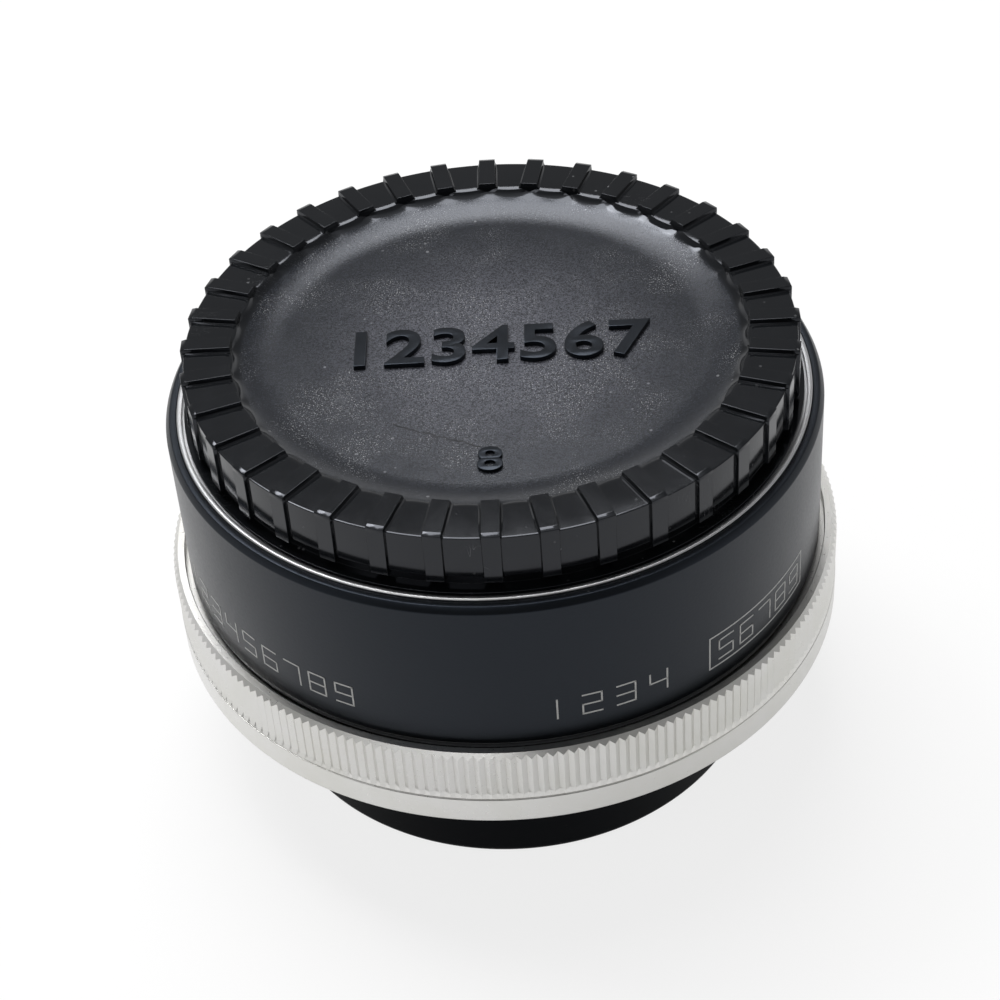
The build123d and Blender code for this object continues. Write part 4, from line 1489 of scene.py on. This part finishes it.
@dataclass
class BreechRing:
    """Knurled breech ring with pointed teeth, three inner lugs and its retaining ring."""

    crest: float = 32.7
    groove: float = 32.4
    bottom: float = 13.8
    band_top: float = 16.9
    band_radius: float = 32.75
    top: float = 22.4
    bevel: float = 0.5
    recess: float = 31.5
    recess_depth: float = 1.0
    recess_edge: float = 0.06
    bore: float = 28.75
    teeth: int = 216
    run_out: float = 0.45
    foot_bevel: tuple[Point, ...] = ((0.3, 0.0), (0.06, 0.2), (0.0, 0.34))
    band_bevel: tuple[Point, ...] = ((0.0, 0.2), (0.04, 0.14))
    seam: float = 0.1
    lug_radii: Point = (25.35, 29.0)
    lug_heights: Point = (13.8, 14.75)
    lug_arc: float = 56.0
    retainer_radii: Point = (27.05, 28.72)
    retainer_heights: Point = (17.8, 21.0)

    def knurl(self) -> Piece:
        """Shapes the toothed ring: V grooves and a top bevel that cuts each of them to a point.

        Returns:
            The closed ring without its lugs.
        """
        deselect()
        bpy.ops.mesh.primitive_circle_add(
            vertices=self.teeth * 2, radius=self.crest * MM, location=(0.0, 0.0, self.band_top * MM)
        )
        piece = named("breech_ring_knurl")
        settle(piece)
        flat = self.crest - self.bevel
        shoulder = self.top - self.bevel
        middle = (self.crest + self.groove) / 2.0
        start = self.band_top + self.run_out
        upper = self.teeth * 6
        with editing():
            extrude_by(self.run_out)
        with picked(piece, lambda out, up, index: up > start - NEAR and index % 2 == 1):
            scale_out(self.groove / self.crest)
        with picked(piece, lambda out, up, index: up > start - NEAR):
            extrude_by(shoulder - start)
        with picked(piece, lambda out, up, index: up > shoulder - CLOSE and out < middle):
            raise_by(self.crest - self.groove)
        with picked(piece, lambda out, up, index: up > shoulder - CLOSE):
            extrude_by(0.0)
        with picked(piece, lambda out, up, index: index >= upper and out > middle):
            scale_out(flat / self.crest)
            raise_by(self.bevel)
        with picked(piece, lambda out, up, index: index >= upper and up < self.top - CLOSE / 2.0):
            scale_out(flat / self.groove)
            raise_by(self.groove - flat)
        with picked(piece, lambda out, up, index: index >= upper):
            self.inside((flat, self.top))
        return piece

    def inside(self, last: Point) -> None:
        """Runs on from the flat face: recess, bore, underside and plain band, and closes under the knurl.

        Args:
            last: radius and height of the selected ring of edges.
        """
        shelf = self.top - self.recess_depth
        for point in (
            (self.recess + self.recess_edge, self.top),
            (self.recess, self.top - self.recess_edge),
            (self.recess, shelf),
            (self.bore, shelf),
            (self.bore, self.bottom),
            *((self.band_radius - inwards, self.bottom + up) for inwards, up in self.foot_bevel),
            *((self.band_radius - inwards, self.band_top - down) for inwards, down in self.band_bevel),
            (self.crest - self.seam, self.band_top - self.seam),
            (self.crest, self.band_top),
        ):
            grow(*point, last)
            last = point
        bpy.ops.mesh.select_all(action="SELECT")
        bpy.ops.mesh.remove_doubles(threshold=SAME_PLACE)
        bpy.ops.mesh.select_all(action="DESELECT")
        bpy.ops.mesh.select_non_manifold()
        bpy.ops.mesh.bridge_edge_loops()
        clean()

    def build(self, finisher: Finisher) -> None:
        """Builds and dresses the ring.

        Args:
            finisher: dresses the pieces and hands them to the frame.
        """
        knurled = self.knurl()
        only(knurled)
        bpy.ops.object.shade_smooth_by_angle(angle=math.radians(14.0))
        join(knurled, three_tabs("ring_lug", self.lug_radii, self.lug_heights, LUG_BEARINGS, self.lug_arc))
        finisher.fit(knurled, RING_SILVER, "breech", "breech_ring")
        retainer = band("retaining_ring", self.retainer_radii, self.retainer_heights)
        round_edges(retainer, Edge.TURNED)
        finisher.fit(retainer, RING_BRASS, "breech", "breech_retaining_ring")
        finisher.dress({"ring_index_dot": RED_DOT})


@dataclass
class RearBayonet:
    """Fixed rear flange with its seat and clamping screws."""

    bore: float = 24.4
    tube: float = 27.0
    shoulder: float = 28.6
    seat: float = 16.0
    ledge: float = 17.4
    top: float = 25.0
    chamfer: float = 0.3

    def build(self, finisher: Finisher) -> None:
        """Builds and dresses the flange.

        Args:
            finisher: dresses the pieces and hands them to the frame.
        """
        section = [
            (self.bore, self.seat + self.chamfer),
            (self.bore + self.chamfer, self.seat),
            (self.shoulder, self.seat),
            (self.shoulder, self.ledge),
            (self.tube, self.ledge),
            (self.tube, self.top),
            (self.bore, self.top),
        ]
        flange = ring("rear_flange_tube", section)
        round_edges(flange, Edge.TURNED)
        finisher.fit(flange, MOUNT_CHROME, "housing", "rear_flange")
        finisher.dress(
            {
                "rear_flange_screws": SCREW_STEEL,
                "friction_washer": SPRING_STEEL,
                "breech_stop_pin": SCREW_STEEL,
            }
        )


@dataclass(frozen=True)
class Lens:
    """One outer glass: its rim, its clear radius, its two edges and how far its faces bulge up."""

    name: str
    node: str
    rim: float
    clear: float
    back: float
    front: float
    back_bulge: float
    front_bulge: float


@dataclass(frozen=True)
class GlassRing:
    """A threaded ring that holds a glass, with a slot for the key."""

    name: str
    node: str
    radii: Point
    heights: Point
    slot_height: float


@dataclass
class GlassCell:
    """Optical cell with its outer glasses, retaining rings and the shroud behind."""

    radius: float = 16.6
    top: float = 32.0
    bottom: float = 13.0
    front_bore: float = 15.4
    stop_bore: float = 13.6
    rear_bore: float = 14.4
    stop_heights: Point = (23.0, 24.6)
    collar: float = 17.7
    collar_heights: Point = (24.0, 25.0)
    chamfer: float = 0.3
    shroud_bottom: float = 9.7
    shroud_lip: float = 10.9
    shroud_mouth: float = 14.6
    shroud_bore: float = 16.63
    slot_size: tuple[float, float, float] = (40.0, 1.2, 0.5)
    lenses: tuple[Lens, ...] = (
        Lens("front_glass", "front_lens", 15.37, 13.4, 28.2, 30.6, 0.8, 0.9),
        Lens("rear_glass", "rear_lens", 14.37, 12.4, 16.6, 19.2, 0.6, -0.8),
    )
    glass_rings: tuple[GlassRing, ...] = (
        GlassRing("front_glass_ring", "front_retaining_ring", (13.8, 15.37), (30.6, 31.7), 31.45),
        GlassRing("rear_glass_ring", "rear_retaining_ring", (12.8, 14.37), (15.2, 16.6), 15.45),
    )

    def bowl(self, clear: float, edge: float, bulge: float, steps: int = 14) -> list[Point]:
        """Points of a spherical face from its rim to the axis.

        Args:
            clear: the face's radius.
            edge: the height of its rim.
            bulge: how far its middle stands over the rim; below it where negative.
            steps: how many rings the face has.

        Returns:
            Radius and height of each point.
        """
        sphere = (clear * clear + bulge * bulge) / (2.0 * abs(bulge))
        points = []
        for step in range(steps + 1):
            radius = clear * (1.0 - step / steps)
            rise = abs(bulge) - sphere + math.sqrt(sphere * sphere - radius * radius)
            points.append((radius, edge + math.copysign(rise, bulge)))
        return points

    def glass(self, lens: Lens) -> Piece:
        """Turns one lens: flat rim and two spherical faces.

        Args:
            lens: its sizes.

        Returns:
            The lens, shaded smooth.
        """
        face = self.bowl(lens.clear, lens.front, lens.front_bulge)
        upper = turn(lens.name, [(lens.rim, lens.back), (lens.rim, lens.front), *face], 128)
        face = self.bowl(lens.clear, lens.back, lens.back_bulge)
        lower = turn(lens.name + "_back", [(lens.rim, lens.back), *face], 128)
        merge_into(upper, [lower])
        only(upper)
        bpy.ops.object.shade_smooth_by_angle(angle=math.radians(20.0))
        return upper

    def tube(self) -> Piece:
        """Turns the cell's tube with its collar and its stop between the glasses.

        Returns:
            The tube with rounded edges.
        """
        (low, high), (stop_low, stop_high) = self.collar_heights, self.stop_heights
        section = [
            (self.rear_bore, self.bottom),
            (self.radius, self.bottom),
            (self.radius, low),
            (self.collar, low),
            (self.collar, high),
            (self.radius, high),
            (self.radius, self.top - self.chamfer),
            (self.radius - self.chamfer, self.top),
            (self.front_bore, self.top),
            (self.front_bore, stop_high),
            (self.stop_bore, stop_high),
            (self.stop_bore, stop_low),
            (self.rear_bore, stop_low),
        ]
        cell = ring("cell_tube", section)
        round_edges(cell, Edge.TURNED)
        return cell

    def shroud(self) -> Piece:
        """Turns the shroud that guards the rear glass.

        Returns:
            The shroud with rounded edges.
        """
        section = [
            (self.shroud_mouth, self.shroud_bottom),
            (self.collar, self.shroud_bottom),
            (self.collar, self.collar_heights[0]),
            (self.shroud_bore, self.collar_heights[0]),
            (self.shroud_bore, self.bottom),
            (self.radius, self.shroud_lip),
            (self.shroud_mouth, self.shroud_lip),
        ]
        shroud = ring("shroud_tube", section)
        round_edges(shroud, Edge.MOULDED)
        return shroud

    def build(self, finisher: Finisher) -> None:
        """Builds and dresses the cell.

        Args:
            finisher: dresses the pieces and hands them to the frame.
        """
        finisher.fit(self.tube(), CELL_BLACK, "housing", "lens_cell")
        for lens in self.lenses:
            finisher.fit(self.glass(lens), GLASS, "housing", lens.node)
        for kind in self.glass_rings:
            retainer = band(kind.name, kind.radii, kind.heights, 192)
            carve(retainer, [block("key_slot", (0.0, 0.0, kind.slot_height), self.slot_size)])
            round_edges(retainer, Edge.CRISP)
            finisher.fit(retainer, MATT_BLACK, "housing", kind.node)
        finisher.fit(self.shroud(), BAFFLE_PLASTIC, "housing", "rear_shroud")
        finisher.dress(
            {
                "second_lens": GLASS,
                "third_lens": GLASS,
                "front_lens_spacer": MATT_BLACK,
                "rear_lens_spacer": MATT_BLACK,
            }
        )


@dataclass
class LeverWork:
    """Carrier, lever rings, springs, pin and the baffle over them."""

    top: float = 31.8
    plate: float = 0.8
    skirt_radii: Point = (24.4, 27.0)
    skirt_bottom: float = 26.2
    bore: float = 16.75
    over_cut: float = 0.5
    lever_slot: tuple[Point, float, float] = ((17.83, 18.97), 261.0, 33.0)
    signal_slot: tuple[Point, float, float] = ((20.38, 21.52), 164.0, 39.0)
    pin_hole: float = 0.65
    pin_place: Point = (22.6, 30.0)

    def baffle(self) -> Piece:
        """Turns the baffle and cuts the slots and the hole through which the levers and the pin pass.

        Returns:
            The baffle with rounded edges.
        """
        inner, outer = self.skirt_radii
        under = self.top - self.plate
        section = [
            (inner, self.skirt_bottom),
            (outer, self.skirt_bottom),
            (outer, self.top),
            (self.bore, self.top),
            (self.bore, under),
            (inner, under),
        ]
        baffle = ring("baffle_plate", section)
        through = (under - self.over_cut, self.top + self.over_cut)
        slots = [
            sector("arc_slot", radii, through, bearing, arc)
            for radii, bearing, arc in (self.lever_slot, self.signal_slot)
        ]
        carve(baffle, [*slots, post("pin_hole", self.pin_hole, through, around(*self.pin_place))])
        round_edges(baffle, Edge.CRISP)
        return baffle

    def build(self, finisher: Finisher) -> None:
        """Builds the baffle and dresses the works under it.

        Args:
            finisher: dresses the pieces and hands them to the frame.
        """
        finisher.fit(self.baffle(), BAFFLE_PLASTIC, "housing", "front_baffle")
        finisher.dress(
            {
                "ring_carrier": MATT_BLACK,
                "lever_guide_screws": SCREW_STEEL,
                "diaphragm_ring": LEVER_STEEL,
                "signal_ring": LEVER_STEEL,
                "diaphragm_spring": SPRING_STEEL,
                "signal_spring": SPRING_STEEL,
                "pin_spring": SPRING_STEEL,
                "aperture_pin": LEVER_STEEL,
            }
        )


@dataclass
class RearCap:
    """Smooth cup with three outer lugs, on which the converter stands."""

    radius: float = 24.95
    foot: float = 24.6
    bore: float = 23.5
    top: float = 16.0
    foot_curve: tuple[Point, ...] = ((-0.02, 0.8), (0.04, 0.5), (0.23, 0.23), (0.5, 0.04), (0.8, 0.0))
    well_curve: tuple[Point, ...] = ((0.0, 2.2), (0.2, 1.8), (0.6, 1.6))
    recess: float = 20.0
    recess_height: float = 0.4
    floor_ring: float = 8.0
    lug_radii: Point = (24.2, 26.5)
    lug_heights: Point = (14.8, 16.0)
    lug_arc: float = 50.0

    def build(self, finisher: Finisher) -> None:
        """Builds and dresses the cup.

        Args:
            finisher: dresses the pieces and hands them to the frame.
        """
        outside = [
            (self.bore, self.top),
            (self.radius, self.top),
            *((self.foot - inwards, up) for inwards, up in self.foot_curve),
            (self.recess, 0.0),
            (self.recess, self.recess_height),
            (self.floor_ring, self.recess_height),
            (0.0, self.recess_height),
        ]
        floor = self.well_curve[-1][1]
        curve = [(self.bore - inwards, up) for inwards, up in self.well_curve]
        cup = turn("rear_cap_cup", outside)
        well = turn("rear_cap_well", [(self.bore, self.top), *curve, (self.floor_ring, floor), (0.0, floor)])
        merge_into(cup, [well])
        lugs = three_tabs("cap_lug", self.lug_radii, self.lug_heights, GAP_BEARINGS, self.lug_arc)
        round_edges(cup, Edge.TURNED)
        join(cup, lugs)
        finisher.fit(cup, SHADED_REAR_PLASTIC, "rear_cap", "rear_cap")


# Studio

SEEN_RAYS = ("Is Camera Ray", "Is Glossy Ray", "Is Transmission Ray")


@dataclass(frozen=True)
class Lamp:
    """A soft lamp: a disc, or a rectangle where a height is given. Sizes in metres, power in watts."""

    name: str
    place: tuple[float, float, float]
    power: float
    size: float
    height: float = 0.0

    def hang(self) -> None:
        """Adds the lamp, turned to the converter."""
        data = bpy.data.lights.new(self.name, "AREA")
        data.shape = "RECTANGLE" if self.height else "DISK"
        data.size = self.size
        data.size_y = self.height or self.size
        data.energy = self.power
        lamp = bpy.data.objects.new(self.name, data)
        bpy.context.scene.collection.objects.link(lamp)
        away = Vector(self.place) - Vector((0.0, 0.0, 0.02))
        lamp.matrix_world = Matrix.Translation(self.place) @ away.to_track_quat("Z", "Y").to_matrix().to_4x4()


@dataclass
class Studio:
    """Floor, light and camera."""

    camera_place: tuple[float, float, float] = (0.0, -0.17510, 0.17643)
    lens: float = 84.91
    sensor: float = 36.0
    shift: Point = (0.0325, -0.0037)
    pitch: float = 0.7134
    yaw: float = -0.0188
    roll: float = -0.0883
    ambient: float = 0.22
    low: float = 0.85
    horizon: float = 0.31
    zenith: float = 1.0
    room: float = 0.07
    dim_edge: float = 0.5
    dim_core: float = 0.8
    paper: Point = (0.84, 0.86)
    glow: float = 0.8
    mirrored_glow: float = 0.45
    lamps: tuple[Lamp, ...] = (
        Lamp("overhead", (-0.04, 0.18, 0.48), 2.3, 0.27, 0.33),
        Lamp("left_lamp", (-0.22, 0.17, 0.48), 0.85, 0.15),
        Lamp("front_strip", (-0.21, -0.36, 0.43), 0.28, 0.45, 0.06),
    )

    def camera(self) -> None:
        """Sets the camera at the photograph's viewing angle."""
        data = bpy.data.cameras.new("camera")
        data.lens = self.lens
        data.sensor_width = self.sensor
        data.shift_x, data.shift_y = self.shift
        data.clip_start = 0.01
        data.dof.use_dof = False
        camera = bpy.data.objects.new("camera", data)
        bpy.context.scene.collection.objects.link(camera)
        level = math.cos(self.pitch)
        forward = Vector((math.sin(self.yaw) * level, math.cos(self.yaw) * level, -math.sin(self.pitch)))
        right = Vector((math.cos(self.yaw), -math.sin(self.yaw), 0.0))
        up = right.cross(forward)
        turned_right = math.cos(self.roll) * right + math.sin(self.roll) * up
        turned_up = -math.sin(self.roll) * right + math.cos(self.roll) * up
        rotation = Matrix((turned_right, turned_up, -forward)).transposed()
        camera.matrix_world = Matrix.Translation(self.camera_place) @ rotation.to_4x4()
        bpy.context.scene.camera = camera

    def floor(self) -> None:
        """Lays the floor, pale to the camera and with the converter's shadow."""
        deselect()
        bpy.ops.mesh.primitive_plane_add(size=6.0, location=(0.0, 0.0, -0.0001))
        floor = bpy.context.object
        floor.name = "floor"
        tree = ShaderTree("floor_paper")
        tone = tree.mix(tree.noise(tree.place(), 3.0, 2.0), *(grey(level) for level in self.paper))
        diffuse = tree.node("ShaderNodeBsdfDiffuse", {}, {"Color": tone})
        glow = tree.node("ShaderNodeEmission", {}, {"Color": grey(1.0), "Strength": 1.0})
        direct, glossy, through = (tree.node("ShaderNodeLightPath", output=name) for name in SEEN_RAYS)
        mirrored = glossy.function("MAXIMUM", through) * self.mirrored_glow
        share = (direct * self.glow).function("MAXIMUM", mirrored)
        tree.end(tree.node("ShaderNodeMixShader", {}, {0: share, 1: diffuse, 2: glow}))
        floor.data.materials.append(tree.material)

    def world(self) -> None:
        """Surrounds the scene with even soft light; mirrors see it bright above and dim behind the camera."""
        tree = ShaderTree("studio", world=True)
        _, back, up = tree.parts(tree.node("ShaderNodeTexCoord", output="Generated"))
        sky = tree.mix(up.rise(0.75, 1.0), grey(self.horizon), grey(self.zenith))
        sky = tree.mix(up.rise(0.15, 0.4), grey(self.low), sky)
        room = (back * -1.0).rise(self.dim_edge, self.dim_core)
        direct, glossy, through = (tree.node("ShaderNodeLightPath", output=name) for name in SEEN_RAYS)
        shown = tree.mix(direct, tree.mix(room, sky, grey(self.room)), grey(1.0))
        seen = direct.function("MAXIMUM", glossy).function("MAXIMUM", through)
        light = tree.node("ShaderNodeBackground", {}, {"Color": grey(1.0), "Strength": self.ambient})
        sight = tree.node("ShaderNodeBackground", {}, {"Color": shown, "Strength": 1.0})
        tree.end(tree.node("ShaderNodeMixShader", {}, {0: seen, 1: light, 2: sight}))
        bpy.context.scene.world = tree.material

    def build(self) -> None:
        """Sets up the whole studio."""
        self.camera()
        self.floor()
        self.world()
        for lamp in self.lamps:
            lamp.hang()
        bpy.context.scene.view_settings.view_transform = "Standard"


def main() -> None:
    """Builds the studio and every sub-assembly, in order."""
    logging.basicConfig(level=logging.INFO, format="%(message)s")
    Studio().build()
    finisher = Finisher()
    inner = (RearCap(), RearBayonet(), BreechRing(), GlassCell(), LeverWork())
    for assembly in (*inner, Barrel(), FrontBayonet(), FrontCap()):
        LOG.info("building %s", type(assembly).__name__)
        assembly.build(finisher)


if __name__ == "__main__":
    main()
